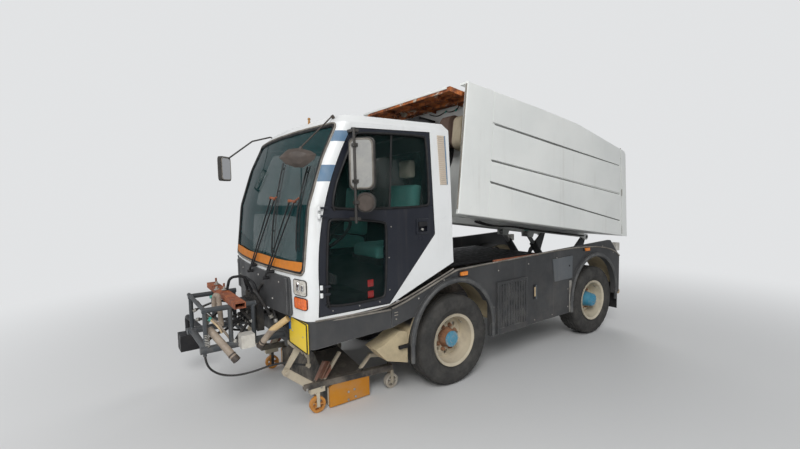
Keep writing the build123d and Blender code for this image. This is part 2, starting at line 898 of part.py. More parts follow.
with BuildPart() as suction_nozzle:
    add(nozzle_hood(0))
    add(nozzle_hood(12), mode=Mode.SUBTRACT)
    block(
        (-100, 100),
        (nozzle_middle_y - 100, nozzle_middle_y + 100),
        (hood_top - 30, hood_top + 5),
        mode=Mode.SUBTRACT,
    )
    for _, side in sides:
        beam = [(y, under_beam(y)) for y in (beam_front[0], beam_rear[0])]
        side_plate((*beam, beam_rear, beam_front), *mirrored(side, *beam_x))
        for y in (-1510, -1290):
            block(mirrored(side, 500, nozzle_x), (y - 22, y + 22), (150, under_beam(y) + 5))
        arm = mirrored(side, nozzle_x + 4, nozzle_x + 20)
        side_plate(((-1790, 235), (-1690, 235), (-1920, 418), (-1952, 422), (-1966, 400), (-1955, 374)), *arm)
        cross_bar(mirrored(side, nozzle_x, nozzle_x + 24), nozzle_hinge_y, nozzle_hinge_z, 26)
        cross_bar(
            mirrored(side, nozzle_x - 6, nozzle_x + 30),
            nozzle_hinge_y,
            nozzle_hinge_z,
            nozzle_pin_radius + running_gap,
            mode=Mode.SUBTRACT,
        )
        # channel and arms that stand on the beam
        side_plate(((-1712, 245), (-1655, 245), (-1570, 385), (-1625, 400)), *mirrored(side, 524, 530))
        side_plate(((-1712, 245), (-1702, 245), (-1615, 397), (-1625, 400)), *mirrored(side, 524, 556))
        side_plate(((-1665, 245), (-1655, 245), (-1570, 385), (-1580, 388)), *mirrored(side, 524, 556))
        side_plate(((-1650, 245), (-1622, 245), (-1468, 440), (-1490, 452)), *mirrored(side, 534, 556))
        side_plate(rear_arm, *mirrored(side, 528, 552))
        for y in roller_ys:
            length = 60 if y == roller_ys[0] else 14
            block(mirrored(side, *beam_x), (y - 62, y + length), (168, under_beam(y) + 5))
            for x in (roller_x - fork_half, roller_x + fork_half - 4):
                block(mirrored(side, x, x + 4), (y - 16, y + 12), (roller_z - 16, 172))
            block(mirrored(side, roller_x - fork_half, roller_x + fork_half), (y - 16, y + 12), (150, 172))
            cross_bar(mirrored(side, roller_x - fork_half, roller_x + fork_half), y, roller_z, 8)

save(suction_nozzle, "suction_nozzle")

# Wear plates bolted to the ends of the mouth
with BuildPart() as wear_plates:
    for _, side in sides:
        top = [(y, under_beam(y) - 0.5) for y in (-1214, -1560)]
        side_plate(((-1588, 10), (-1214, 10), *top, (-1588, 175)), *mirrored(side, nozzle_x, nozzle_x + 20))

save(wear_plates, "wear_plates")

# Spoked rollers at the four corners of the nozzle
roller_width = 38
roller_spokes = 5

for place, y in zip(("front", "rear"), roller_ys):
    with BuildPart() as rollers:
        for _, side in sides:
            low, high = mirrored(side, roller_x - roller_width / 2, roller_x + roller_width / 2)
            with BuildSketch(Plane.YZ.offset(low)) as wheel:
                with Locations((y, roller_z)):
                    Circle(roller_radius)
                    Circle(roller_radius - 20, mode=Mode.SUBTRACT)
                    Circle(17)
                    with PolarLocations(32, roller_spokes):
                        Rectangle(34, 10)
                    Circle(8.05, mode=Mode.SUBTRACT)
            extrude(wheel.sketch, amount=high - low)
    save(rollers, f"nozzle_rollers_{place}")

# Brackets on the rails that carry the nozzle's hinge pins
nozzle_bracket = ((-1850, 575), (-1780, 575), (-1918, 392), (-1945, 372), (-1968, 396), (-1945, 422))

with BuildPart() as nozzle_brackets:
    for _, side in sides:
        block(mirrored(side, rail_inner + rail_width, nozzle_x - 5), (-1850, -1740), (545, 575))
        side_plate(nozzle_bracket, *mirrored(side, nozzle_x - 17, nozzle_x - 5))
        pin = mirrored(side, nozzle_x - 17, nozzle_x + 30)
        cross_bar(pin, nozzle_hinge_y, nozzle_hinge_z, nozzle_pin_radius)

    # gland for the loose hose, on a plate below the left bracket
    block((492, 542), (-1754, -1742), (376, 545))
    gland_start = Vector(*hose_route[-1])
    gland_line = (gland_start - Vector(*hose_route[-2])).normalized()
    pipe((gland_start, gland_start + gland_line * 40), 13)

save(nozzle_brackets, "nozzle_brackets")

# The loose hose itself, in straight runs joined by arcs as large as the runs allow
hose_points = [Vector(*point) for point in hose_route]
hose_bends = []
for before, corner, after in zip(hose_points, hose_points[1:], hose_points[2:]):
    arriving = corner - before
    leaving = after - corner
    shorter = min(arriving.length, leaving.length)
    hose_bends.append(0.45 * shorter / tan(radians(arriving.get_angle(leaving) / 2)))

with BuildPart() as loose_hose:
    with BuildLine() as route:
        FilletPolyline(*hose_points, radius=hose_bends)
    with BuildSketch(Plane(origin=route.line @ 0, z_dir=route.line % 0)):
        Circle(hose_radius)
    sweep(path=route.line)

save(loose_hose, "loose_hose")
hose_length = route.wires()[0].length
hose_section = loose_hose.part.volume / hose_length
print("hose bends", [round(bend) for bend in hose_bends])
print("hose length", round(hose_length), "section", round(hose_section, 1))

# Hopper: its rear line, where the door meets it, leans back from the vertical of the hopper
door_line_low = (-76, hopper_floor)
door_line_high = (-300, 1140)
roof_flat_x = 690
roof_slope = 88

# along the hopper, height of the covers' top
roof_line = ((hopper_nose - 30, 1214), (-1943, 1223), (-1258, 1216), (-298, 1113))


def along_hopper(points, x_low, x_high, mode=Mode.ADD):
    """A plate with an outline in the hopper's own plane, between two values of X."""
    with BuildSketch(hopper_plane.offset(x_low)) as outline:
        with BuildLine():
            Polyline(*points, close=True)
        make_face()
    extrude(outline.sketch, amount=x_high - x_low, mode=mode)


door_hinge = hopper_plane.from_local_coords(Vector(door_hinge_along, door_hinge_up, 0))


def across_hopper(along, up=0):
    """A plane across the hopper, its x axis to the truck's right and its y axis up."""
    return Plane(
        origin=hopper_plane.from_local_coords(Vector(along, up, 0)),
        x_dir=(-1, 0, 0),
        z_dir=hopper_plane.x_dir,
    )


# along the hopper, height of the roof
tank_sections = ((tank_front, 1200), (-1258, 1196), (80, 1052))


def tank_form(inset):
    """The tank with its sloped roof edges, drawn in by inset and open past the rear line."""
    with BuildPart() as form:
        for along, roof in tank_sections:
            start = along + inset if along == tank_front else along
            x = cover_x - inset
            with BuildSketch(across_hopper(start)):
                with BuildLine():
                    Polyline(
                        (-x, hopper_floor + inset),
                        (x, hopper_floor + inset),
                        (x, roof - roof_slope - 0.6 * inset),
                        (roof_flat_x - 0.3 * inset, roof - inset),
                        (-roof_flat_x + 0.3 * inset, roof - inset),
                        (-x, roof - roof_slope - 0.6 * inset),
                        close=True,
                    )
                make_face()
        loft(ruled=True)
    return form.part


inlet_half = 150
inlet_wall = 14
inlet_outline = (
    (-2880, hopper_floor),
    (tank_front, hopper_floor),
    (tank_front, 300),
    (-2700, 300),
    (-2880, 160),
)
inlet_hollow = (
    (-2866, hopper_floor - 10),
    (-2660, hopper_floor - 10),
    (-2640, 70),
    (-2500, 70),
    (-2500, 286),
    (-2706, 286),
    (-2866, 152),
)
bearer_outline = (
    (tank_front, hopper_floor),
    (tank_front, hopper_floor - 60),
    (-90, hopper_floor - 60),
    (-30, -38),
    (14, -40),
    (36, -14),
    (34, 18),
    (14, 38),
    (-60, 38),
    (-84, hopper_floor),
)
ear_outline = (
    (cylinder_eye_along - 70, hopper_floor),
    (cylinder_eye_along - 40, -80),
    (cylinder_eye_along + 40, -80),
    (cylinder_eye_along + 70, hopper_floor),
)
hinge_plate_outline = (
    (-420, 1085),
    (-300, 1085),
    (-300, 1118),
    (-244, 1120),
    (-242, 1150),
    (-262, 1160),
    (-320, 1150),
)

with BuildPart() as hopper_tank:
    add(tank_form(0))
    add(tank_form(hopper_wall), mode=Mode.SUBTRACT)
    past_door = 400
    along_hopper(
        (
            (door_line_low[0] + 20.5, hopper_floor - 100),
            (past_door, hopper_floor - 100),
            (past_door, 1300),
            (door_line_high[0] - 33, 1300),
        ),
        -1000,
        1000,
        mode=Mode.SUBTRACT,
    )
    # inlet box over the suction duct, open below and into the tank
    along_hopper(inlet_outline, -inlet_half, inlet_half)
    along_hopper(inlet_hollow, -inlet_half + inlet_wall, inlet_half - inlet_wall, mode=Mode.SUBTRACT)
    for _, side in sides:
        # bearers under the floor, each ending in a hinge lug outside the chassis upright
        low, high = mirrored(side, rail_x + 20, rail_x + 48)
        along_hopper(bearer_outline, low, high)
        cross_bar(
            (low - 5, high + 5),
            hopper_hinge_y,
            hopper_hinge_z,
            hinge_pin_radius + running_gap,
            mode=Mode.SUBTRACT,
        )
        # ears beside the cylinder eyes
        for x in (cylinder_x - 58, cylinder_x + 38):
            along_hopper(ear_outline, *mirrored(side, x, x + 20))
        # door hinge plates on the roof's rear edge
        plate = mirrored(side, 520, 560)
        along_hopper(hinge_plate_outline, *plate)
        cross_bar(plate, door_hinge.Y, door_hinge.Z, door_pin_radius + running_gap, mode=Mode.SUBTRACT)

save(hopper_tank, "hopper_tank")

# Side covers: a panel with a top flange, a seam, and three pressed steps that end short of the door
cover_thick = body_x - cover_x
flange_reach = 100
flange_thick = 20
seam = ((-2549, 0), (-2624, 1230))
step_depth = 13
step_height = 44

# front end and rear end of each step, along the hopper and up
step_lines = (((-2606, 930), (-288, 910)), ((-2586, 589), (-217, 570)), ((-2574, 389), (-159, 236)))
cover_profile = ((hopper_nose, hopper_floor), (door_line_low[0] - 6, hopper_floor), *roof_line[::-1])
flange_profile = (*roof_line, *((along, up - flange_thick) for along, up in roof_line[::-1]))

with BuildPart() as hopper_covers:
    for _, side in sides:
        along_hopper(cover_profile, *mirrored(side, cover_x, body_x))
        outer = hopper_covers.faces().sort_by(Axis.X)[-1 if side > 0 else 0]
        fillet(outer.edges(), 12)
        along_hopper(flange_profile, *mirrored(side, body_x - flange_reach, body_x - 15))
        along_hopper(
            (seam[0], (seam[0][0] + 4, seam[0][1]), (seam[1][0] + 4, seam[1][1]), seam[1]),
            *mirrored(side, body_x - 3, body_x + 3),
            mode=Mode.SUBTRACT,
        )
        for front, rear in step_lines:
            start = hopper_plane.from_local_coords(Vector(*front, 0))
            end = hopper_plane.from_local_coords(Vector(*rear, 0))
            with BuildSketch(Plane(origin=start, x_dir=(-1, 0, 0), z_dir=end - start)) as notch:
                with BuildLine():
                    Polyline(
                        (-side * (body_x - step_depth), 0),
                        (-side * (body_x + 3), 0),
                        (-side * (body_x + 3), -step_height * (1 + 3 / step_depth)),
                        close=True,
                    )
                make_face()
            extrude(notch.sketch, amount=(end - start).length, mode=Mode.SUBTRACT)

save(hopper_covers, "hopper_covers")

# Hood over the fan, bent like the roof, with a lip and ribs under it
hood_nose = -2985
hood_sheet = 8
hood_side = (850, 1130)
hood_flat = (roof_flat_x, 1208)

# where a bent strip starts along the hopper, its length and its depth: the sheet, its lip and ribs
hood_strips = (
    (hood_nose, tank_front - hood_nose, hood_sheet),
    (hood_nose, 14, 44),
    (-2830, 10, 36),
    (-2690, 10, 36),
)

with BuildPart() as hopper_hood:
    for start, length, depth in hood_strips:
        with BuildSketch(across_hopper(start)) as sheet:
            with BuildLine():
                top = [(-hood_side[0], hood_side[1]), (-hood_flat[0], hood_flat[1]), hood_flat, hood_side]
                Polyline(*top, *((x, up - depth) for x, up in reversed(top)), close=True)
            make_face()
        extrude(sheet.sketch, amount=length)
    for x in (-420, 0, 420):
        rib = ((hood_nose, 1170), (tank_front, 1170), (tank_front, 1204), (hood_nose, 1204))
        along_hopper(rib, x - 5, x + 5)

save(hopper_hood, "hopper_hood")

# Fan on the tank's front wall: a flat drum with its inlet, motor and outlet
fan_up = 700
fan_radius = 350
fan_depth = 230

with BuildPart() as fan_housing:
    with BuildSketch(across_hopper(tank_front, fan_up)) as drum:
        Circle(fan_radius)
        with Locations((fan_radius / 2, fan_radius / 2 + 20)):
            Rectangle(fan_radius, fan_radius + 40)
    extrude(drum.sketch, amount=-fan_depth)
    with BuildSketch(across_hopper(tank_front - fan_depth, fan_up)) as inlet:
        Circle(190)
    extrude(inlet.sketch, amount=-50)
    with BuildSketch(across_hopper(tank_front - fan_depth - 50, fan_up)) as motor:
        Circle(85)
    extrude(motor.sketch, amount=-55)

save(fan_housing, "fan_housing")

# Air bags beside the fan, rounded at top and bottom
air_bag_table = (
    # place across, half width, depth, low and high up the hopper
    (440, 65, 240, 740, 1030),
    (590, 60, 210, 690, 1020),
)

with BuildPart() as air_bags:
    for _, side in sides:
        for x, half_width, depth, low, high in air_bag_table:
            with BuildSketch(hopper_plane.offset(side * x)) as bag:
                with Locations((tank_front - depth / 2, (low + high) / 2)):
                    RectangleRounded(depth, high - low, 80)
            extrude(bag.sketch, amount=half_width, both=True)

save(air_bags, "air_bags")

# Rear door: a dished shell that hangs from two hinges at its top edge
door_skin = 34
door_rim = 46
door_rear = ((hopper_tail, hopper_floor), (-172, 1062))

with BuildPart() as hopper_door:
    along_hopper(
        (
            (door_line_low[0] + door_gap, hopper_floor),
            door_rear[0],
            door_rear[1],
            (-206, 1098),
            (-288, 1110),
        ),
        -body_x,
        body_x,
    )
    fillet(hopper_door.edges().filter_by(Axis.X).sort_by(Axis.Z)[-3:-1], 14)
    along_hopper(
        (
            (door_line_low[0] - 40, hopper_floor + door_rim),
            (door_rear[0][0] - door_skin - 10, hopper_floor + door_rim),
            (door_rear[1][0] - door_skin, 1062 - door_rim),
            (door_line_high[0] - 40, 1062 - door_rim),
        ),
        -body_x + door_rim,
        body_x - door_rim,
        mode=Mode.SUBTRACT,
    )
    for x in (-512, 480):
        along_hopper(((-284, 1104), (-200, 1090), (-236, 1148), (-262, 1156), (-284, 1146)), x, x + 32)
    cross_bar((-570, 570), door_hinge.Y, door_hinge.Z, door_pin_radius)

save(hopper_door, "hopper_door")

# Tipping cylinders: barrels on the frame's cross pin, rods up to the hopper's ears
foot = Vector(0, cylinder_foot_y, cylinder_foot_z)
eye = hopper_plane.from_local_coords(Vector(cylinder_eye_along, cylinder_eye_up, 0))
cylinder_length = (eye - foot).length
cylinder_line = (eye - foot).normalized()
barrel_length = 700
rod_length = 700


def on_cylinder(side, distance):
    """A plane across a cylinder's line, at a distance from its foot."""
    start = foot + Vector(side * cylinder_x, 0, 0)
    return Plane(origin=start + cylinder_line * distance, z_dir=cylinder_line)


with BuildPart() as tip_barrels:
    for _, side in sides:
        x = side * cylinder_x
        with BuildSketch(on_cylinder(side, 30)):
            Circle(barrel_radius)
        extrude(amount=barrel_length - 30)
        with BuildSketch(on_cylinder(side, 60)):
            Circle(rod_radius + 0.5)
        extrude(amount=barrel_length, mode=Mode.SUBTRACT)
        cross_bar((x - 30, x + 30), cylinder_foot_y, cylinder_foot_z, 38)
        pin_hole = cylinder_pin_radius + running_gap
        cross_bar((x - 40, x + 40), cylinder_foot_y, cylinder_foot_z, pin_hole, mode=Mode.SUBTRACT)

save(tip_barrels, "tip_barrels")

with BuildPart() as tip_rods:
    for _, side in sides:
        x = side * cylinder_x
        with BuildSketch(on_cylinder(side, cylinder_length - rod_length)):
            Circle(rod_radius)
        extrude(amount=rod_length - 20)
        with Locations(Location((x, eye.Y, eye.Z), (0, 90, 0))):
            Cylinder(34, 56)
            Cylinder(18, 60, mode=Mode.SUBTRACT)

save(tip_rods, "tip_rods")
print("cylinder length at rest", round(cylinder_length, 1), "eye", eye)
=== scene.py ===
# %% [markdown]
# # A compact street sweeper truck, dressed for the studio
# The truck's pieces come from a finished construction model: cab shell, doors, hopper, wheels
# and all that joins them. This lesson gives those pieces their paint, glass, rubber and rust, and
# adds what a construction model leaves out: tread, seals, wipers, lamps, cushions, bolts and
# cables. Sizes are metres. X points to the truck's left, -Y to its front and Z up, and the ground
# is at zero.

# %% Load the construction model
from math import cos, pi, radians, sin

import bpy
from mathutils import Matrix, Vector


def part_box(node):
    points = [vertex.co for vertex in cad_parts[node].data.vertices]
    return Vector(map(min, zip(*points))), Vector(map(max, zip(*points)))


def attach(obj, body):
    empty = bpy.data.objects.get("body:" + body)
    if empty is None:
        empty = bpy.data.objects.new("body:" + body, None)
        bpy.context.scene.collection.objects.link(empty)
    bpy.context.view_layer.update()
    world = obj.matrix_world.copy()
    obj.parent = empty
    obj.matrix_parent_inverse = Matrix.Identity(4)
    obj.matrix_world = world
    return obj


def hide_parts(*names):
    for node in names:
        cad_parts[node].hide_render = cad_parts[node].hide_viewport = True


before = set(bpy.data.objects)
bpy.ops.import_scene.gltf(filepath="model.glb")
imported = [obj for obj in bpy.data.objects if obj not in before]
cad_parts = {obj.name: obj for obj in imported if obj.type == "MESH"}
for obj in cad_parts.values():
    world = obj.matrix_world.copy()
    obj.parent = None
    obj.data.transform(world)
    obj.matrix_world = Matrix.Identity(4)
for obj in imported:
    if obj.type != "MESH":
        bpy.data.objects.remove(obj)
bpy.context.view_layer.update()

# %% [markdown]
# ## Camera
# The photographer stood at the truck's front left corner, at eye height, with a wide lens. The
# camera's place and its three angles were solved from the wheels, the cab and the hopper, so the
# perspective of the render is that of the photograph. A camera could also be aimed at a point,
# but then its roll is lost, so its three axes are worked out from the angles instead.

# %% Camera
camera_place = Vector((3.6158, -3.0207, 1.7271))
camera_heading = radians(144.643)
camera_drop = radians(4.034)
camera_roll = radians(1.155)
camera_lens = 18.97

forward = Vector(
    (
        cos(camera_drop) * cos(camera_heading),
        cos(camera_drop) * sin(camera_heading),
        -sin(camera_drop),
    )
)
level_right = Vector((sin(camera_heading), -cos(camera_heading), 0))
level_down = forward.cross(level_right)
right = level_right * cos(camera_roll) + level_down * sin(camera_roll)
up = level_right * sin(camera_roll) - level_down * cos(camera_roll)

bpy.ops.object.camera_add()
camera = bpy.context.object
camera.name = "camera"
camera.data.sensor_width = 36
camera.data.lens = camera_lens
camera.matrix_world = Matrix.Translation(camera_place) @ Matrix((right, up, -forward)).transposed().to_4x4()
bpy.context.scene.camera = camera
bpy.context.scene.view_settings.view_transform = "Standard"
print("camera", tuple(round(value, 3) for value in camera_place))

# %% [markdown]
# ## Floor and light
# A pale floor keeps the shadow under the truck. The world gives an even light from all round, and
# three large lamps shape the body: the strongest from the front left, as the sky in the
# photograph does. What the camera sees behind the truck is a plain pale colour, chosen by the
# world for camera rays alone, so that the background adds no light to the paint. The floor fades
# into that colour away from the truck, so that no horizon shows.

# %% Floor, world and lamps
floor_size = 60
floor_colour = (0.66, 0.66, 0.655, 1)
backdrop_colour = (0.76, 0.77, 0.78, 1)
sky_colour = (0.93, 0.96, 1, 1)
world_light = 0.36
fade_start = 2.6
fade_end = 7.5

bpy.ops.mesh.primitive_plane_add(size=floor_size, location=(0, 0, -0.001))
floor = bpy.context.object
floor.name = "floor"
floor_material = bpy.data.materials.new("studio_floor")
floor_material.use_nodes = True
floor.data.materials.append(floor_material)


def add_node(tree, kind, **sockets):
    """Add a node; a socket is set to a value, or linked where it is given another's output."""
    node = tree.nodes.new(kind)
    for socket, value in sockets.items():
        plug(tree, node.inputs[socket.replace("_", " ")], value)
    return node


def plug(tree, socket, value):
    if isinstance(value, bpy.types.NodeSocket):
        tree.links.new(value, socket)
    else:
        socket.default_value = value


tree = floor_material.node_tree
floor_shader = tree.nodes["Principled BSDF"]
plug(tree, floor_shader.inputs["Base Color"], floor_colour)
plug(tree, floor_shader.inputs["Roughness"], 0.9)
floor_point = add_node(tree, "ShaderNodeTexCoord").outputs["Object"]
distance = add_node(tree, "ShaderNodeVectorMath", Vector=floor_point)
distance.operation = "LENGTH"
fading = add_node(
    tree, "ShaderNodeMapRange", Value=distance.outputs["Value"], From_Min=fade_start, From_Max=fade_end
)
fading.interpolation_type = "SMOOTHSTEP"
seen_by_camera = add_node(tree, "ShaderNodeLightPath").outputs["Is Camera Ray"]
fade = add_node(tree, "ShaderNodeMath")
fade.operation = "MULTIPLY"
plug(tree, fade.inputs[0], fading.outputs["Result"])
plug(tree, fade.inputs[1], seen_by_camera)
glow = add_node(tree, "ShaderNodeEmission", Color=backdrop_colour)
blend = add_node(tree, "ShaderNodeMixShader", Fac=fade.outputs["Value"])
plug(tree, blend.inputs[1], floor_shader.outputs["BSDF"])
plug(tree, blend.inputs[2], glow.outputs["Emission"])
plug(tree, tree.nodes["Material Output"].inputs["Surface"], blend.outputs["Shader"])

world = bpy.data.worlds.new("studio")
bpy.context.scene.world = world
world.use_nodes = True
tree = world.node_tree
sky = tree.nodes["Background"]
plug(tree, sky.inputs["Color"], sky_colour)
plug(tree, sky.inputs["Strength"], world_light)
backdrop = add_node(tree, "ShaderNodeBackground", Color=backdrop_colour, Strength=1)
seen_by_camera = add_node(tree, "ShaderNodeLightPath").outputs["Is Camera Ray"]
seen = add_node(tree, "ShaderNodeMixShader", Fac=seen_by_camera)
plug(tree, seen.inputs[1], sky.outputs["Background"])
plug(tree, seen.inputs[2], backdrop.outputs["Background"])
plug(tree, tree.nodes["World Output"].inputs["Surface"], seen.outputs["Shader"])

lamp_table = (
    # name, place, aimed at, size, watts
    ("key", (6.5, -5.5, 6.5), (0, -0.6, 1.2), 4.0, 560),
    ("front", (-3.5, -8.0, 4.5), (0, -1.0, 1.2), 4.0, 150),
    ("back", (-4.0, 6.5, 6.0), (0, 1.0, 1.4), 5.0, 220),
)
for name, place, target, size, watts in lamp_table:
    bpy.ops.object.light_add(type="AREA", location=place)
    lamp = bpy.context.object
    lamp.name = name
    lamp.data.size = size
    lamp.data.energy = watts
    lamp.rotation_euler = (Vector(target) - Vector(place)).to_track_quat("-Z", "Y").to_euler()
print("lamps", len(lamp_table))

# %% [markdown]
# ## How the finishes are mixed
# Every surface here is years old. Paint has chalked, dust has settled low down, rain has drawn
# streaks and edges are rubbed bare. A photograph of paint could be wrapped round the pieces, but
# patterns computed from the place of each point never show a seam and hold at any distance. All
# finishes share the same few steps, so a small recipe class carries them: noise, a patch cut out
# of noise, a mix of two colours, and a bump.

# %% The recipe class
class Recipe:
    """One finish being mixed: its nodes, and the steps that finishes share."""

    def __init__(self, name, **sockets):
        self.material = bpy.data.materials.new(name)
        self.material.use_nodes = True
        self.tree = self.material.node_tree
        self.shader = self.tree.nodes["Principled BSDF"]
        self.point = self.add("ShaderNodeTexCoord").outputs["Object"]
        for socket, value in sockets.items():
            self.shader.inputs[socket.replace("_", " ")].default_value = value

    def add(self, kind, **sockets):
        return add_node(self.tree, kind, **sockets)

    def plug(self, socket, value):
        plug(self.tree, socket, value)

    def stretched(self, scale, turn=(0, 0, 0)):
        return self.add("ShaderNodeMapping", Vector=self.point, Scale=scale, Rotation=turn).outputs[0]

    def noise(self, scale, detail=4, rough=0.55, stretch=None, twist=0):
        where = self.stretched(stretch) if stretch else self.point
        node = self.add(
            "ShaderNodeTexNoise", Vector=where, Scale=scale, Detail=detail, Roughness=rough, Distortion=twist
        )
        return node.outputs["Fac"]

    def ramp(self, value, low, high, out_low=0, out_high=1):
        """Turn a value into a soft step from out_low to out_high."""
        node = self.add(
            "ShaderNodeMapRange", Value=value, From_Min=low, From_Max=high, To_Min=out_low, To_Max=out_high
        )
        node.interpolation_type = "SMOOTHSTEP"
        return node.outputs["Result"]

    def sum(self, operation, first, second):
        node = self.add("ShaderNodeMath")
        node.operation = operation
        node.use_clamp = True
        self.plug(node.inputs[0], first)
        self.plug(node.inputs[1], second)
        return node.outputs[0]

    def times(self, first, second):
        return self.sum("MULTIPLY", first, second)

    def height(self):
        return self.add("ShaderNodeSeparateXYZ", Vector=self.point).outputs["Z"]

    def facing_up(self, low=0.25, high=0.9):
        """1 on a surface that looks up, 0 on a wall."""
        normal = self.add("ShaderNodeNewGeometry").outputs["Normal"]
        return self.ramp(self.add("ShaderNodeSeparateXYZ", Vector=normal).outputs["Z"], low, high)

    def edges(self, reach, low=0.9, high=0.995):
        """1 along sharp edges and 0 on flats: a rounded copy of the surface leans away there."""
        rounded = self.add("ShaderNodeBevel", Radius=reach)
        rounded.samples = 4
        return self.ramp(self.with_normal(rounded.outputs["Normal"]), low, high, 1, 0)

    def with_normal(self, direction):
        """How far a direction agrees with the way the surface faces."""
        normal = self.add("ShaderNodeNewGeometry").outputs["Normal"]
        lean = self.add("ShaderNodeVectorMath")
        lean.operation = "DOT_PRODUCT"
        self.plug(lean.inputs[0], direction)
        self.plug(lean.inputs[1], normal)
        return lean.outputs["Value"]

    def zone(self, fade=0.002, **ranges):
        """1 inside a box of x, y, z or reach, the distance from the middle plane, and 0 outside."""
        axes = self.add("ShaderNodeSeparateXYZ", Vector=self.point).outputs
        inside = None
        for axis, (low, high) in ranges.items():
            place = self.sum("ABSOLUTE", axes["X"], 0) if axis == "reach" else axes[axis.upper()]
            part = self.times(self.ramp(place, low, low + fade), self.ramp(place, high, high + fade, 1, 0))
            inside = part if inside is None else self.times(inside, part)
        return inside

    def turned_in(self, centre):
        """1 on faces that look towards a point, such as the inside of a hollow shell."""
        outward = self.add("ShaderNodeVectorMath")
        outward.operation = "SUBTRACT"
        self.plug(outward.inputs[0], self.point)
        self.plug(outward.inputs[1], centre)
        return self.ramp(self.with_normal(outward.outputs["Vector"]), -0.03, 0.0, 1, 0)

    def mix(self, factor, first, second):
        node = self.add("ShaderNodeMix")
        node.data_type = "RGBA"
        self.plug(node.inputs[0], factor)
        self.plug(node.inputs[6], first)
        self.plug(node.inputs[7], second)
        return node.outputs[2]

    def laid(self, colour, cover, share, over):
        """A colour with another laid over it, where a cover is 1 and as thickly as a share says."""
        return self.mix(self.times(cover, share), colour, over)

    def colour(self, value):
        self.plug(self.shader.inputs["Base Color"], value)

    def roughness(self, value):
        self.plug(self.shader.inputs["Roughness"], value)

    def bump(self, value, strength, depth):
        node = self.add("ShaderNodeBump", Height=value, Strength=strength, Distance=depth)
        self.plug(self.shader.inputs["Normal"], node.outputs["Normal"])


def tone(red, green, blue):
    return (red, green, blue, 1)


road_dust = tone(0.36, 0.31, 0.25)
dark_grime = tone(0.055, 0.05, 0.045)
rust = tone(0.3, 0.105, 0.035)
lining_black = tone(0.022, 0.023, 0.024)
print("recipe ready")

# %% [markdown]
# ## Paint
# The cab and the hopper are the same white, chalky with age, and the lower panels and the frame
# are dark. One function makes every paint: a base colour that wanders a little, rain streaks
# stretched upright, dust that thickens towards the ground and on tops, bare worn edges and
# small specks of rust.

# %% Paints
def paint(
    name, base, aged, *, grime, dust, streaks, wear, rusty, gloss, worn=None, zones=(), hollow_round=None
):
    recipe = Recipe(name, Specular_IOR_Level=0.5)
    wander = recipe.ramp(recipe.noise(1.1, 5), 0.35, 0.68)
    colour = recipe.mix(wander, base, aged)
    for ranges, zone_colour in zones:
        colour = recipe.mix(recipe.zone(**ranges), colour, zone_colour)
    rain = recipe.ramp(recipe.noise(1, 6, 0.62, stretch=(17, 17, 0.9)), 0.52, 0.74)
    streak = recipe.times(rain, recipe.ramp(recipe.noise(2.3, 3), 0.42, 0.62))
    colour = recipe.laid(colour, streak, streaks, road_dust)
    low = recipe.ramp(recipe.height(), 0.3, 1.15, 1, 0.08)
    cloud = recipe.ramp(recipe.noise(6.5, 8, 0.65), 0.36, 0.72)
    settled = recipe.sum("MAXIMUM", recipe.times(low, cloud), recipe.times(recipe.facing_up(), 0.4))
    colour = recipe.laid(colour, settled, dust, road_dust)
    smear = recipe.ramp(recipe.noise(14, 9, 0.7, twist=0.6), 0.6, 0.8)
    colour = recipe.laid(colour, smear, grime, dark_grime)
    edge = recipe.times(recipe.edges(0.006), recipe.ramp(recipe.noise(9, 5), 0.38, 0.62))
    colour = recipe.laid(colour, edge, wear, worn or aged)
    speck = recipe.ramp(recipe.noise(31, 6, 0.72), 0.7, 0.76)
    spot = recipe.times(recipe.times(speck, recipe.ramp(recipe.noise(3.1, 3), 0.5, 0.66)), rusty)
    colour = recipe.mix(spot, colour, rust)
    if hollow_round:
        colour = recipe.mix(recipe.turned_in(hollow_round), colour, lining_black)
    recipe.colour(colour)
    recipe.roughness(recipe.ramp(recipe.noise(5, 7, 0.6), 0.3, 0.75, gloss, gloss + 0.25))
    recipe.bump(recipe.sum("ADD", recipe.noise(190, 2), recipe.times(spot, 0.8)), 0.12, 0.0006)
    return recipe.material


cab_white = paint(
    "cab_white", tone(0.84, 0.85, 0.845), tone(0.75, 0.76, 0.75), grime=0.08, dust=0.22, streaks=0.12,
    wear=0.15, rusty=0.35, gloss=0.3, hollow_round=(0, -1.25, 1.45),
)
hopper_white = paint(
    "hopper_white", tone(0.84, 0.85, 0.82), tone(0.77, 0.785, 0.76), grime=0.07, dust=0.22,
    streaks=0.16, wear=0.3, rusty=0.25, gloss=0.42,
)
panel_grey = paint(
    "panel_grey", tone(0.036, 0.037, 0.039), tone(0.056, 0.057, 0.059), grime=0.3, dust=0.09,
    streaks=0.09, wear=0.8, worn=tone(0.26, 0.26, 0.25), rusty=0.1, gloss=0.42,
)
lid_grey = paint(
    "lid_grey", tone(0.085, 0.098, 0.108), tone(0.12, 0.13, 0.14), grime=0.2, dust=0.12, streaks=0.1,
    wear=0.5, worn=tone(0.26, 0.26, 0.25), rusty=0.1, gloss=0.42,
)
door_dark = paint(
    "door_dark", tone(0.011, 0.013, 0.021), tone(0.017, 0.02, 0.029), grime=0.2, dust=0.06,
    streaks=0.05, wear=0.5, worn=tone(0.1, 0.1, 0.1), rusty=0.1, gloss=0.26,
)
frame_grey = paint(
    "frame_grey", tone(0.018, 0.02, 0.023), tone(0.034, 0.036, 0.038), grime=0.5, dust=0.28,
    streaks=0.2, wear=0.7, worn=tone(0.16, 0.14, 0.13), rusty=0.8, gloss=0.5,
)
carrier_blue = paint(
    "carrier_blue", tone(0.022, 0.028, 0.034), tone(0.052, 0.06, 0.068), grime=0.55, dust=0.22,
    streaks=0.2, wear=0.9, worn=tone(0.33, 0.35, 0.37), rusty=0.9, gloss=0.36,
)
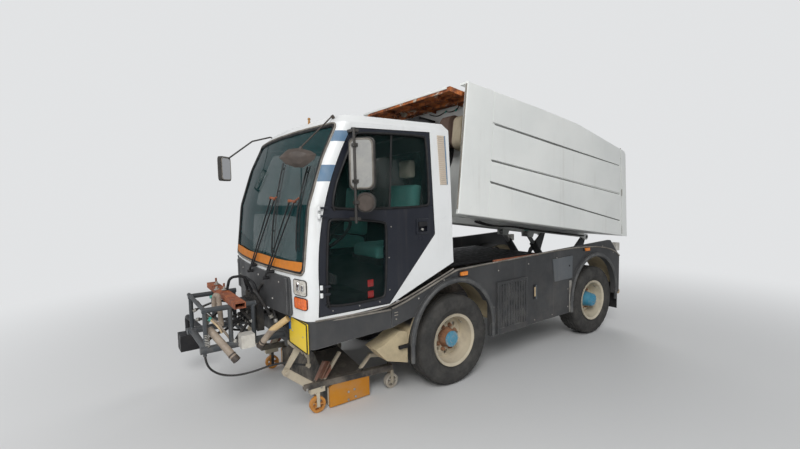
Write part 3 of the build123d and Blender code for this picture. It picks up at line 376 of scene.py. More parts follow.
rim_cream = paint(
    "rim_cream", tone(0.7, 0.64, 0.5), tone(0.56, 0.49, 0.36), grime=0.75, dust=0.6, streaks=0.1,
    wear=0.6, worn=tone(0.3, 0.22, 0.15), rusty=0.8, gloss=0.45,
)
hub_blue = paint(
    "hub_blue", tone(0.02, 0.21, 0.36), tone(0.04, 0.29, 0.44), grime=0.5, dust=0.35, streaks=0.1,
    wear=0.9, worn=tone(0.45, 0.45, 0.45), rusty=0.9, gloss=0.4,
)
plate_yellow = paint(
    "plate_yellow", tone(0.93, 0.66, 0.015), tone(0.88, 0.62, 0.03), grime=0.08, dust=0.1,
    streaks=0.1, wear=0.2, worn=tone(0.7, 0.6, 0.3), rusty=0, gloss=0.33,
)
print("body paints mixed")

# %% [markdown]
# ## Painted steel near the road
# The nozzle is one piece of the construction model with several finishes: a dark hood, dark steel
# beams, a rusty channel and cream arms. A finish can change by place, so one paint takes a list
# of boxes, each with its own colour, before the dirt goes over all of them.

# %% Steel near the road
hood_black = tone(0.022, 0.021, 0.02)
dark_steel = tone(0.035, 0.032, 0.029)
channel_rust = tone(0.2, 0.06, 0.03)
steel_cream = paint(
    "steel_cream", tone(0.6, 0.53, 0.4), tone(0.48, 0.41, 0.3), grime=0.7, dust=0.5, streaks=0.2,
    wear=0.7, worn=tone(0.25, 0.18, 0.12), rusty=1, gloss=0.5,
    zones=(
        ({"reach": (0, 0.5195), "z": (0, 0.45)}, hood_black),
        ({"reach": (0.5195, 0.5725), "y": (-1.81, -1.63), "z": (0.209, 0.263)}, dark_steel),
        ({"reach": (0.5195, 0.5725), "y": (-1.63, -0.96), "z": (0.164, 0.256)}, dark_steel),
        ({"reach": (0.5235, 0.5565), "y": (-1.72, -1.565), "z": (0.264, 0.402)}, channel_rust),
    ),
)
wear_orange = paint(
    "wear_orange", tone(0.6, 0.24, 0.012), tone(0.48, 0.18, 0.01), grime=0.5, dust=0.25, streaks=0.3,
    wear=0.5, worn=tone(0.35, 0.16, 0.06), rusty=0.6, gloss=0.5,
)
print("paints mixed")

# %% [markdown]
# ## Rust, cast iron and bright steel
# The hood's underside and the carrier's beam are rusted through their paint. Rust is never one
# brown: it is dark pits, orange bloom and a little old paint, each in patches of its own size.

# %% Rust and metal
def rusted(name, old_paint, covered, bloom, pitted=tone(0.12, 0.035, 0.018), top=None):
    recipe = Recipe(name)
    colour = recipe.mix(recipe.ramp(recipe.noise(9, 9, 0.7), 0.4, 0.62), pitted, bloom)
    flakes = recipe.ramp(recipe.noise(40, 6, 0.7), 0.5, 0.72, 0, 0.6)
    colour = recipe.mix(flakes, colour, tone(0.5, 0.24, 0.1))
    kept = recipe.ramp(recipe.noise(5.5, 8, 0.66, twist=0.4), 0.62 - covered / 4, 0.66 - covered / 4)
    colour = recipe.mix(kept, colour, old_paint)
    if top:
        stain = recipe.ramp(recipe.noise(3, 7, 0.65), 0.35, 0.8, 1, 0.75)
        colour = recipe.laid(colour, recipe.facing_up(), stain, top)
    recipe.colour(colour)
    recipe.roughness(recipe.ramp(kept, 0, 1, 0.92, 0.55))
    recipe.bump(recipe.noise(120, 8, 0.75), 0.5, 0.0015)
    return recipe.material


beam_rust = rusted(
    "beam_rust", tone(0.22, 0.075, 0.042), 0.2, bloom=tone(0.36, 0.11, 0.045), pitted=tone(0.2, 0.065, 0.038)
)
hood_rust = rusted(
    "hood_rust", tone(0.5, 0.44, 0.36), 0.15, bloom=tone(0.5, 0.15, 0.035), top=tone(0.72, 0.74, 0.73)
)


def metal(name, base, spotted, rough=0.45, metallic=0.0, dust=0.4):
    recipe = Recipe(name, Metallic=metallic)
    colour = recipe.mix(recipe.ramp(recipe.noise(12, 7, 0.65), 0.38, 0.66), base, spotted)
    recipe.colour(recipe.laid(colour, recipe.ramp(recipe.noise(7, 8, 0.7), 0.4, 0.7), dust, road_dust))
    recipe.roughness(recipe.ramp(recipe.noise(18, 5), 0.3, 0.7, rough, min(rough + 0.3, 1)))
    recipe.bump(recipe.noise(85, 5, 0.6), 0.3, 0.0008)
    return recipe.material


cast_iron = metal("cast_iron", tone(0.022, 0.02, 0.018), tone(0.05, 0.036, 0.026), rough=0.65, dust=0.3)
valve_black = metal("valve_black", tone(0.01, 0.01, 0.011), tone(0.022, 0.02, 0.018), rough=0.5, dust=0.12)
cylinder_steel = metal(
    "cylinder_steel", tone(0.42, 0.43, 0.44), tone(0.3, 0.29, 0.28), rough=0.3, metallic=0.9, dust=0.25
)
zinc = metal("zinc", tone(0.5, 0.5, 0.48), tone(0.36, 0.33, 0.28), rough=0.4, metallic=0.7, dust=0.25)
pale_steel = metal(
    "pale_steel", tone(0.45, 0.44, 0.41), tone(0.26, 0.24, 0.21), rough=0.5, metallic=0.3, dust=0.3
)
bolt_rust = metal("bolt_rust", tone(0.22, 0.1, 0.05), tone(0.32, 0.15, 0.07), rough=0.8, dust=0.3)
print("metals mixed")

# %% [markdown]
# ## Rubber and plastic
# Tyres grey with road dust. Hoses and seals
# stay blacker. Hard plastic has a fine grain and pale scuffs.

# %% Rubber and plastic
def rubber(name, base, dusty, dust=0.5, rough=0.75, grain=160, zones=()):
    recipe = Recipe(name, Specular_IOR_Level=0.35)
    colour = recipe.laid(base, recipe.ramp(recipe.noise(8, 8, 0.7), 0.34, 0.72), dust, dusty)
    for ranges, zone_colour in zones:
        colour = recipe.mix(recipe.zone(**ranges), colour, zone_colour)
    recipe.colour(colour)
    recipe.roughness(recipe.ramp(recipe.noise(20, 4), 0.3, 0.7, rough - 0.1, min(rough + 0.15, 1)))
    recipe.bump(recipe.noise(grain, 4, 0.6), 0.3, 0.0008)
    return recipe.material


tyre_rubber = rubber(
    "tyre_rubber", tone(0.042, 0.041, 0.039), tone(0.088, 0.083, 0.076), dust=0.7, rough=0.85, grain=110
)
seal_rubber = rubber("seal_rubber", tone(0.012, 0.012, 0.013), tone(0.045, 0.042, 0.04), dust=0.4, rough=0.6)
dusty_seal = rubber("dusty_seal", tone(0.16, 0.145, 0.125), tone(0.34, 0.31, 0.27), dust=0.8, rough=0.8)
flare_rubber = rubber("flare_rubber", tone(0.062, 0.064, 0.067), tone(0.17, 0.168, 0.16), dust=0.8, rough=0.5)
hose_rubber = rubber("hose_rubber", tone(0.02, 0.021, 0.023), tone(0.09, 0.078, 0.064), dust=0.5, rough=0.5)
black_plastic = rubber(
    "black_plastic", tone(0.016, 0.016, 0.018), tone(0.045, 0.042, 0.04), dust=0.4, rough=0.5, grain=260
)
mirror_plastic = rubber(
    "mirror_plastic", tone(0.04, 0.037, 0.034), tone(0.12, 0.11, 0.1), dust=0.35, rough=0.5, grain=260
)
hose_beige = rubber(
    "hose_beige",
    tone(0.4, 0.33, 0.26),
    tone(0.2, 0.15, 0.12),
    dust=0.8,
    rough=0.6,
    zones=(
        ({"y": (-2.25, -2.0), "z": (0.86, 1.2)}, tone(0.014, 0.014, 0.015)),
        ({"reach": (0.45, 0.62), "y": (-2.06, -1.88), "z": (0.73, 0.9)}, tone(0.6, 0.43, 0.22)),
    ),
)
hose_cream = rubber("hose_cream", tone(0.6, 0.46, 0.28), tone(0.28, 0.19, 0.12), dust=0.7, rough=0.6)
box_white = rubber("box_white", tone(0.64, 0.62, 0.57), tone(0.3, 0.27, 0.23), dust=0.6, rough=0.6)
bag_beige = rubber(
    "bag_beige",
    tone(0.42, 0.36, 0.26),
    tone(0.26, 0.21, 0.15),
    dust=0.6,
    rough=0.85,
    grain=90,
    zones=(({"reach": (0.0, 0.54)}, tone(0.1, 0.065, 0.05)),),
)
roller_white = rubber("roller_white", tone(0.6, 0.56, 0.48), tone(0.25, 0.2, 0.15), dust=0.8, rough=0.6)
roller_orange = rubber("roller_orange", tone(0.66, 0.28, 0.05), tone(0.3, 0.15, 0.07), dust=0.7, rough=0.6)
teal_plastic = rubber("teal_plastic", tone(0.06, 0.42, 0.34), tone(0.16, 0.3, 0.26), dust=0.4, rough=0.4)
print("rubbers mixed")

# %% [markdown]
# ## The arch liners
# The liners are moulded in beige plastic. Their upper sides, high under the hopper, are painted near
# black as shade, since the hopper shades them; their undersides keep the beige, so the painted
# shade follows the way the surface faces.

# %% Arch liners
recipe = Recipe("liner_beige", Roughness=0.75)
cloud = recipe.ramp(recipe.noise(8, 8, 0.7), 0.34, 0.72)
plastic = recipe.laid(tone(0.56, 0.46, 0.29), cloud, 0.55, tone(0.32, 0.26, 0.17))
upward = recipe.facing_up(-0.05, 0.08)
high_up = recipe.ramp(recipe.height(), 0.6, 0.66)
# painted shade: faces that look up, above about 0.6 m, are laid near black for the shade under the hopper
recipe.colour(recipe.laid(plastic, upward, high_up, tone(0.018, 0.017, 0.016)))
recipe.bump(recipe.noise(200, 4, 0.6), 0.3, 0.0008)
liner_beige = recipe.material
print("liners mixed")

# %% [markdown]
# ## Glass and lenses
# The panes are tinted green. Real glass bends light twice and a thin pane hardly shows it, so the
# pane is a dark glossy film that lets part of the light straight through, and the cab stays
# visible behind it. Lenses are coloured plastic with fine moulded ribs under the surface.

# %% Glass and lenses
def pane(name, tint, clearness, film=0.1):
    recipe = Recipe(name, Roughness=0.04, IOR=1.32)
    smear = recipe.ramp(recipe.noise(4, 7, 0.6, stretch=(1, 1, 0.5)), 0.45, 0.75)
    recipe.colour(recipe.laid(tint, smear, film, tone(0.3, 0.33, 0.3)))
    recipe.plug(recipe.shader.inputs["Alpha"], recipe.ramp(smear, 0, 1, 1 - clearness, 1 - clearness + film))
    return recipe.material


cab_tint = pane("cab_tint", tone(0.005, 0.042, 0.044), 0.36, film=0.05)
door_tint = pane("door_tint", tone(0.004, 0.02, 0.018), 0.8, film=0.05)


def lens(name, base, deep, ribs=240, rough=0.12):
    recipe = Recipe(name, Coat_Weight=0.6, Coat_Roughness=0.05, Roughness=rough)
    recipe.colour(recipe.mix(recipe.ramp(recipe.noise(60, 3), 0.35, 0.65), base, deep))
    line = recipe.add("ShaderNodeTexWave", Vector=recipe.point, Scale=ribs / 6.283).outputs["Fac"]
    recipe.bump(line, 0.4, 0.001)
    return recipe.material


lens_clear = lens("lens_clear", tone(0.62, 0.6, 0.55), tone(0.44, 0.4, 0.34))
lens_orange = lens("lens_orange", tone(0.85, 0.17, 0.02), tone(0.65, 0.1, 0.012))
lens_amber = lens("lens_amber", tone(0.9, 0.3, 0.03), tone(0.75, 0.2, 0.02))
lens_red = lens("lens_red", tone(0.45, 0.012, 0.01), tone(0.3, 0.008, 0.008))
mirror_glass = Recipe("mirror_glass", Metallic=1.0, Roughness=0.12).material
print("glass mixed")

# %% [markdown]
# ## Dressing the construction pieces
# Every piece of the construction model gets one of these finishes. A table of piece and finish
# is easy to read and to change.

# %% Finishes of the construction pieces
finish_table = (
    (frame_grey, "chassis_frame crossmembers hopper_uprights rear_bumper tip_barrels"),
    (cab_white, "cab_shell"),
    (cab_tint, "cab_glass"),
    (panel_grey, "front_panel front_skirt side_panels side_vents"),
    (lid_grey, "side_lids"),
    (liner_beige, "arch_liners"),
    (cast_iron, "front_axle rear_axle engine_block knuckle_left knuckle_right"),
    (black_plastic, "seats dashboard broom_motor fan_housing"),
    (lens_clear, "headlamps"),
    (lens_orange, "front_indicators"),
    (lens_amber, "side_markers"),
    (lens_red, "rear_lamps"),
    (plate_yellow, "number_plate"),
    (mirror_plastic, "mirror_front mirror_left mirror_right"),
    (carrier_blue, "broom_carrier"),
    (beam_rust, "carrier_beam"),
    (hose_beige, "carrier_hoses"),
    (valve_black, "valve_bank"),
    (box_white, "valve_box"),
    (hose_rubber, "suction_duct loose_hose"),
    (steel_cream, "nozzle_brackets suction_nozzle"),
    (door_dark, "door_left door_right"),
    (door_tint, "door_glass_left door_glass_right"),
    (hopper_white, "hopper_tank hopper_covers hopper_door"),
    (hood_rust, "hopper_hood"),
    (bag_beige, "air_bags"),
    (cylinder_steel, "tip_rods"),
    (wear_orange, "wear_plates"),
    (roller_orange, "nozzle_rollers_front"),
    (roller_white, "nozzle_rollers_rear"),
    (tyre_rubber, "tyre_front_left tyre_front_right tyre_rear_left tyre_rear_right"),
    (rim_cream, "rim_front_left rim_front_right rim_rear_left rim_rear_right"),
)
dressed = 0
for finish, nodes in finish_table:
    for node in nodes.split():
        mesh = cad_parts[node].data
        mesh.materials.clear()
        mesh.materials.append(finish)
        dressed += 1
print("dressed", dressed, "of", len(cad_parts))

# %% [markdown]
# ## The loose hose
# One hydraulic hose hangs below the front carrier, from a gland at the front to one beside the
# nozzle. A hose has a fixed length, 0.85 metres here, so it is a smooth curve through a route of
# that length, given a round section and made a mesh only by its bevel.

# %% Loose hose
hose_thickness = 0.016
hose_route = (
    (0.285, -2.45, 0.562),
    (0.285, -2.446, 0.49),
    (0.29, -2.375, 0.408),
    (0.305, -2.255, 0.366),
    (0.34, -2.11, 0.378),
    (0.382, -1.995, 0.412),
    (0.435, -1.905, 0.427),
    (0.495, -1.84, 0.416),
    (0.518, -1.766, 0.398),
)


def round_curve(name, route, radius, sides=12, smoothness=8):
    """A smooth curve through a route, with a round section."""
    curve = bpy.data.curves.new(name, "CURVE")
    curve.dimensions = "3D"
    spline = curve.splines.new("NURBS")
    spline.points.add(len(route) - 1)
    for point, place in zip(spline.points, route):
        point.co = (*place, 1)
    spline.order_u = 3
    spline.use_endpoint_u = True
    curve.resolution_u = smoothness
    curve.bevel_depth = radius
    curve.bevel_resolution = max(sides // 4 - 1, 0)
    curve.use_fill_caps = True
    piece = bpy.data.objects.new(name, curve)
    bpy.context.scene.collection.objects.link(piece)
    return piece


hanging_hose = round_curve("hanging_hose", hose_route, hose_thickness / 2, 20, 12)
hanging_hose.data.materials.append(hose_rubber)
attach(hanging_hose, "chassis")
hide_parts("loose_hose")

# %% [markdown]
# ## A small workbench
# The added pieces are made as by hand: a primitive is set at its size and place, shaped in edit
# mode and given its finish. A few helpers do what every piece needs, such as rounding a block's
# edges, laying a rod between two points, or joining like pieces into one.

# %% Workbench helpers
def put_down():
    """Leave nothing selected, so that the next operator acts on the next piece alone."""
    if bpy.context.object and bpy.context.object.mode != "OBJECT":
        bpy.ops.object.mode_set(mode="OBJECT")
    bpy.ops.object.select_all(action="DESELECT")


def pick_up(piece):
    put_down()
    piece.select_set(True)
    bpy.context.view_layer.objects.active = piece


def settle(piece, name):
    """Move a piece's place and size into its mesh."""
    pick_up(piece)
    piece.name = name
    bpy.ops.object.transform_apply(location=True, rotation=True, scale=True)
    return piece


def soften(piece, rounding, segments=2):
    """Round every edge that is sharp."""
    pick_up(piece)
    bpy.ops.object.mode_set(mode="EDIT")
    bpy.ops.mesh.select_mode(type="EDGE")
    bpy.ops.mesh.select_all(action="DESELECT")
    bpy.ops.mesh.edges_select_sharp(sharpness=radians(40))
    bpy.ops.mesh.bevel(offset=rounding, segments=segments, profile=0.7)
    bpy.ops.object.mode_set(mode="OBJECT")
    return piece


def smooth(piece, angle=35):
    pick_up(piece)
    bpy.ops.object.shade_smooth_by_angle(angle=radians(angle))
    return piece


def block(name, low, high, rounding=0.0, segments=2):
    """A box between two corners, with its edges rounded."""
    low, high = Vector(low), Vector(high)
    put_down()
    bpy.ops.mesh.primitive_cube_add(size=1, location=(low + high) / 2)
    piece = bpy.context.object
    piece.scale = high - low
    settle(piece, name)
    if rounding:
        soften(piece, rounding, segments)
    return smooth(piece)


def rod(name, start, end, radius, sides=20, tip=None, rounding=0.0):
    """A round bar between two points; tip is the far end's radius where it tapers."""
    start, end = Vector(start), Vector(end)
    along = end - start
    put_down()
    bpy.ops.mesh.primitive_cone_add(
        vertices=sides,
        radius1=radius,
        radius2=radius if tip is None else tip,
        depth=along.length,
        location=(start + end) / 2,
        rotation=along.to_track_quat("Z", "Y").to_euler(),
    )
    piece = settle(bpy.context.object, name)
    if rounding:
        soften(piece, rounding)
    return smooth(piece)


def drawn(name, points, edges, faces):
    """A new piece from points and the edges or faces between them, picked up."""
    mesh = bpy.data.meshes.new(name)
    mesh.from_pydata(points, edges, faces)
    piece = bpy.data.objects.new(name, mesh)
    bpy.context.scene.collection.objects.link(piece)
    pick_up(piece)
    return piece


def plate(name, corners, push, rounding=0.0):
    """A flat outline of 3-D corners, pushed out into a plate."""
    piece = drawn(name, [Vector(corner) for corner in corners], [], [range(len(corners))])
    bpy.ops.object.mode_set(mode="EDIT")
    bpy.ops.mesh.select_all(action="SELECT")
    bpy.ops.mesh.extrude_region_move(TRANSFORM_OT_translate={"value": Vector(push)})
    bpy.ops.mesh.select_all(action="SELECT")
    bpy.ops.mesh.normals_make_consistent(inside=False)
    bpy.ops.object.mode_set(mode="OBJECT")
    if rounding:
        soften(piece, rounding)
    return smooth(piece)


def hose(name, route, radius, sides=12, smoothness=8):
    """A smooth round hose or cable through a route, as a mesh."""
    pick_up(round_curve(name, route, radius, sides, smoothness))
    bpy.ops.object.convert(target="MESH")
    return smooth(bpy.context.object, 60)


def join(name, pieces):
    """Make one piece of several."""
    pieces = list(pieces)
    put_down()
    for piece in pieces:
        piece.select_set(True)
    bpy.context.view_layer.objects.active = pieces[0]
    if len(pieces) > 1:
        bpy.ops.object.join()
    pieces[0].name = name
    return pieces[0]


def bolts(name, places, push, radius, sides=10, rounding=0.001, tip=None):
    """Like bolts, screws or studs: short rods pushed out from each place, as one piece."""
    push = Vector(push)
    heads = [rod("bolt", place, Vector(place) + push, radius, sides, tip, rounding) for place in places]
    return join(name, heads)


def copies(name, pattern, places):
    """Copies of one small piece, moved to each place and joined; the pattern itself is used up."""
    made = []
    for place in places:
        twin = pattern.copy()
        twin.data = pattern.data.copy()
        bpy.context.scene.collection.objects.link(twin)
        twin.data.transform(Matrix.Translation(place) if not isinstance(place, Matrix) else place)
        made.append(twin)
    bpy.data.objects.remove(pattern)
    return join(name, made)


def dress(piece, finish, body="chassis"):
    """Give a piece its finish and the body it moves with."""
    piece.data.materials.clear()
    piece.data.materials.append(finish)
    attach(piece, body)
    return piece


both_sides = (("left", 1), ("right", -1))
print("workbench ready")

# %% [markdown]
# ## Tyres
# A truck tyre is a closed ring with the same section all round, so its half section is drawn as
# a short list of reach and radius, mirrored, and spun about the axle. The front tyres are worn
# almost smooth between three grooves. The rear tyres still have blocks, so after the spin every
# fourth row of points on the shoulders is pressed in, a little later on each rib.

# %% Tyres
wheel_reach = 0.745
axle_height = 0.41
axle_places = {"front": -0.48, "rear": 1.78}
tyre_steps = 112
tread_root = 0.37
block_length = 0.018
# reach from the tyre's middle, radius
half_section = (
    (0.013, 0.4088),
    (0.016, 0.401),
    (0.023, 0.401),
    (0.026, 0.4085),
    (0.056, 0.4076),
    (0.059, 0.399),
    (0.066, 0.399),
    (0.069, 0.4066),
    (0.086, 0.405),
    (0.103, 0.4005),
    (0.112, 0.3935),
    (0.1165, 0.383),
    (0.118, 0.372),
    (0.1215, 0.366),
    (0.1245, 0.352),
    (0.1275, 0.33),
    (0.127, 0.312),
    (0.125, 0.3),
    (0.1262, 0.296),
    (0.124, 0.291),
    (0.117, 0.274),
    (0.106, 0.256),
    (0.1, 0.244),
    (0.103, 0.238),
    (0.099, 0.229),
    (0.086, 0.2247),
)


def spun_ring(name, section, centre, steps):
    """Spin a closed section of (reach, radius) about a line along X through centre."""
    corners = [Vector(centre) + Vector((reach, 0, radius)) for reach, radius in section]
    count = len(corners)
    ring = drawn(name, corners, [(i, (i + 1) % count) for i in range(count)], [])
    bpy.ops.object.mode_set(mode="EDIT")
    bpy.ops.mesh.select_all(action="SELECT")
    bpy.ops.mesh.spin(steps=steps, angle=2 * pi, center=centre, axis=(1, 0, 0))
    bpy.ops.mesh.select_all(action="SELECT")
    bpy.ops.mesh.remove_doubles(threshold=0.00005)
    bpy.ops.mesh.normals_make_consistent(inside=False)
    bpy.ops.object.mode_set(mode="OBJECT")
    return ring


def cut_blocks(ring, centre, depth, rows, inner, outer):
    """Press a row of points in, every few steps, between two reaches."""
    for vertex in ring.data.vertices:
        spoke = Vector((0, vertex.co.y - centre[1], vertex.co.z - centre[2]))
        reach = abs(vertex.co.x - centre[0])
        if spoke.length < tread_root or not inner < reach < outer:
            continue
        step = round(spoke.angle(Vector((0, 0, 1))) / (2 * pi / tyre_steps))
        step = step if spoke.y > 0 else tyre_steps - step
        if (step + round(reach / block_length)) % rows == 0:
            vertex.co -= spoke.normalized() * depth


section = half_section + tuple((-reach, radius) for reach, radius in reversed(half_section))
for end, along in axle_places.items():
    for side, sign in both_sides:
        centre = (sign * wheel_reach, along, axle_height)
        tyre = spun_ring(f"road_tyre_{end}_{side}", section, centre, tyre_steps)
        if end == "rear":
            cut_blocks(tyre, centre, depth=0.009, rows=4, inner=0.01, outer=0.114)
        else:
            cut_blocks(tyre, centre, depth=0.003, rows=2, inner=0.086, outer=0.117)
        smooth(tyre, 32)
        dress(tyre, tyre_rubber, f"wheel_{end}_{side}")
        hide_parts(f"tyre_{end}_{side}")
print("tyre faces", len(tyre.data.polygons))

# %% [markdown]
# ## Hubs and wheel nuts
# The wheels are deep dishes of cream steel with eight nuts round the hub. The front hub is a
# short rusty drum with a blue face, the rear one a longer blue barrel. One nut is modelled,
# with its washer and stud, and copied round the circle.

# %% Hubs and wheel nuts
nut_circle = 0.112
nut_count = 8
nut_seat = -0.014
screw_circle = 0.0665
screw_count = 12
valve_reach = 0.19
valve_angle = 0.6


def ring_places(count, radius, first=0.0):
    """Moves to points evenly round a circle about the axle."""
    angles = [2 * pi * (number + first) / count for number in range(count)]
    return [Matrix.Translation((0, radius * sin(angle), radius * cos(angle))) for angle in angles]


for end, along in axle_places.items():
    hub_face = 0.062 if end == "front" else 0.1
    for side, sign in both_sides:
        body = f"wheel_{end}_{side}"
        hub = Vector((sign * wheel_reach, along, axle_height))

        def on_axle(name, start, length, radius, sides, rounding=0.0, tip=None):
            """A rod along the axle, from a distance out of the wheel's middle."""
            out = Vector((sign, 0, 0))
            return rod(name, hub + out * start, hub + out * (start + length), radius, sides, tip, rounding)

        washer = on_axle("washer", nut_seat, 0.004, 0.021, 16)
        nut = on_axle("nut", nut_seat, 0.022, 0.0165, 6, 0.002)
        stud = on_axle("stud", nut_seat + 0.01, 0.024, 0.009, 10, 0.001)
        nut = join("nut", (nut, washer, stud))
        nuts = copies(f"wheel_nuts_{end}_{side}", nut, ring_places(nut_count, nut_circle, 0.5))
        dress(nuts, bolt_rust, body)

        skirt_length = hub_face - nut_seat + 0.004
        skirt = on_axle(f"hub_skirt_{end}_{side}", nut_seat - 0.002, skirt_length, 0.0945, 40, 0.003, 0.0745)
        dress(skirt, bolt_rust if end == "front" else hub_blue, body)
        drum = on_axle(f"hub_face_{end}_{side}", hub_face, 0.012, 0.072, 40, 0.004)
        rim = on_axle("rim", hub_face, 0.018, 0.06, 40, 0.003)
        boss = on_axle("boss", hub_face, 0.024, 0.03, 28, 0.004)
        screw = on_axle("screw", hub_face, 0.017, 0.0065, 6, 0.001)
        screws = copies("screws", screw, ring_places(screw_count, screw_circle))
        dress(join(f"hub_face_{end}_{side}", (drum, rim, boss, screws)), hub_blue, body)

        root = hub + Vector((sign * 0.045, valve_reach * sin(valve_angle), valve_reach * cos(valve_angle)))
        stem = rod(f"tyre_valve_{end}_{side}", root, root + Vector((sign * 0.05, -0.012, -0.018)), 0.0045, 10)
        dress(stem, zinc, body)
print("nuts", nut_count, "a wheel")

# %% [markdown]
# ## The windscreen's rubber and the band inside it
# The windscreen sits in a rubber frame that has gone grey with dust. Both the frame and the
# orange band along the dashboard follow the curved front, so the front's depth is worked out
# from the same six sections as the cab: a flat arc with a small round corner.

# %% The cab's front as a function
# height, depth at the middle, half width
front_sections = (
    (0.85, -1.968, 0.9),
    (1.2, -1.972, 0.9),
    (1.65, -1.922, 0.9),
    (2.0, -1.806, 0.9),
    (2.262, -1.676, 0.9),
    (2.322, -1.612, 0.846),
)
front_bow = 0.088
front_corner = 0.09
corner_start = 0.012
corner_fit = 1.015


def cab_front(reach, height):
    """The y of the cab's front at a distance from the middle plane and a height."""
    for lower, upper in zip(front_sections, front_sections[1:]):
        if height <= upper[0]:
            break
    share = (height - lower[0]) / (upper[0] - lower[0])
    middle = lower[1] + share * (upper[1] - lower[1])
    half = lower[2] + share * (upper[2] - lower[2])
    flat = half - front_corner
    bow = front_bow / half**2
    if abs(reach) <= flat + corner_start:
        return middle + bow * reach**2
    turn = min(abs(reach) - flat, front_corner * 0.999)
    return middle + bow * flat**2 + front_corner * corner_fit - (front_corner**2 - turn**2) ** 0.5


def around(low, high, rounding, steps=12):
    """Points (x, z) round a box with round corners."""
    (left, foot), (right, head) = low, high
    corners = (
        # middle of the corner's arc, where the next corner's arc starts
        ((right - rounding, head - rounding), (left + rounding, head)),
        ((left + rounding, head - rounding), (left, foot + rounding)),
        ((left + rounding, foot + rounding), (right - rounding, foot)),
        ((right - rounding, foot + rounding), (right, head - rounding)),
    )
    points = []
    for turn, ((x, z), following) in enumerate(corners):
        for step in range(5):
            angle = pi / 2 * (turn + step / 4)
            points.append((x + rounding * cos(angle), z + rounding * sin(angle)))
        start = points[-1]
        for step in range(1, steps):
            share = step / steps
            points.append(tuple(here + (there - here) * share for here, there in zip(start, following)))
    return points


def on_front(points, stand_off):
    """Points (x, z) brought to the cab's front, closed into a ring."""
    ring = [(x, cab_front(x, z) - stand_off, z) for x, z in points]
    return ring + ring[:2]


print("front at the middle, 1.5 m up", round(cab_front(0, 1.5), 3))

# %% Windscreen frame and band
frame_points = around((-0.855, 1.176), (0.855, 2.257), 0.045, 16)
frame_outer = hose("frame_outer", on_front(frame_points, 0.002), 0.008, 8, 2)
dress(frame_outer, dusty_seal)
frame_points = around((-0.838, 1.192), (0.838, 2.24), 0.04, 16)
frame_inner = hose("frame_inner", on_front(frame_points, -0.006), 0.012, 8, 2)
dress(frame_inner, seal_rubber)

orange_card = rubber("orange_card", tone(0.62, 0.2, 0.018), tone(0.4, 0.15, 0.04), dust=0.7, rough=0.7)
band_rows = (1.194, 1.264)
band_columns = [-0.84 + 0.04 * step for step in range(43)]
band_wave = 0.004
band_points = [
    (x, cab_front(x, z) - 0.003, z + band_wave * sin(9 * x)) for z in band_rows for x in band_columns
]
count = len(band_columns)
band_faces = [(i, i + 1, count + i + 1, count + i) for i in range(count - 1)]


def modified(piece, kind, **settings):
    """Give a piece a modifier with its settings, and apply it."""
    pick_up(piece)
    bpy.ops.object.modifier_add(type=kind)
    for setting, value in settings.items():
        setattr(piece.modifiers[-1], setting, value)
    bpy.ops.object.modifier_apply(modifier=piece.modifiers[-1].name)
    return piece


dash_band = modified(drawn("dash_band", band_points, [], band_faces), "SOLIDIFY", thickness=0.003)
dress(dash_band, orange_card)
print("frame points", len(frame_points))

# %% [markdown]
# ## Wipers
# Each wiper has two thin parallel arms from a pivot in the front panel to a link at the blade's
# middle, so that the blade stays upright as it sweeps. The links have rusted. The blade is a
# spine with claws and a thin rubber below it.

# %% Wipers
wiper_table = (
    # name, pivots, ends of the arms, blade from top to bottom
    (
        "wiper_middle",
        ((-0.045, -2.012, 1.105), (0.045, -2.008, 1.165)),
        ((0.3, -1.915, 1.722), (0.378, -1.912, 1.716)),
        ((0.355, -1.822, 1.996), (0.4, -1.905, 1.73), (0.405, -1.95, 1.499), (0.425, -1.968, 1.301)),
    ),
    (
        "wiper_left",
        ((0.34, -2.004, 1.1), (0.415, -1.996, 1.158)),
        ((0.64, -1.892, 1.699), (0.712, -1.884, 1.694)),
        ((0.76, -1.794, 1.943), (0.76, -1.868, 1.719), (0.772, -1.902, 1.514), (0.8, -1.918, 1.345)),
    ),
)
spindle_back = Vector((0, 0.042, 0))
spindle_front = Vector((0, 0.016, 0))
joint_half = Vector((0, 0.012, 0))
blade_depth = Vector((0, 0.02, 0.002))
claw_shares = (0.06, 0.28, 0.5, 0.72, 0.94)
for name, pivots, ends, blade in wiper_table:
    parts = []
    for pivot, end in zip(pivots, ends):
        pivot, end = Vector(pivot), Vector(end)
        parts.append(rod("spindle", pivot + spindle_back, pivot - spindle_front, 0.013, 14, rounding=0.002))
        parts.append(rod("arm", pivot, end, 0.0055, 8))
        parts.append(rod("arm_root", pivot, pivot.lerp(end, 0.16), 0.009, 8, tip=0.006))
    dress(join(f"{name}_arms", parts), black_plastic)

    parts = []
    for end in ends:
        back, front = Vector(end) + joint_half, Vector(end) - joint_half
        parts.append(rod("joint", back, front, 0.011, 12, rounding=0.002))
    parts.append(rod("bar", ends[0], ends[1], 0.008, 8))
    parts.append(rod("pin", ends[1], blade[1], 0.007, 8))
    dress(join(f"{name}_links", parts), beam_rust)

    spine = hose("spine", blade, 0.006, 8, 4)
    lip = hose("lip", [Vector(point) + blade_depth for point in blade], 0.004, 4, 4)
    claws = []
    for share in claw_shares:
        place = share * (len(blade) - 1)
        index = min(int(place), len(blade) - 2)
        middle = Vector(blade[index]).lerp(Vector(blade[index + 1]), place - index)
        claws.append(rod("claw", middle, middle + blade_depth, 0.005, 6))
    dress(join(f"{name}_blade", [spine, lip, *claws]), seal_rubber)
print("wipers", len(wiper_table))

# %% [markdown]
# ## The front panel, the lamps and the plate
# The dark front panel has a rounded fold near each end and a few pale screws. Each lamp sits in a
# thin black frame, and the plate is held by a frame with two straps behind it.

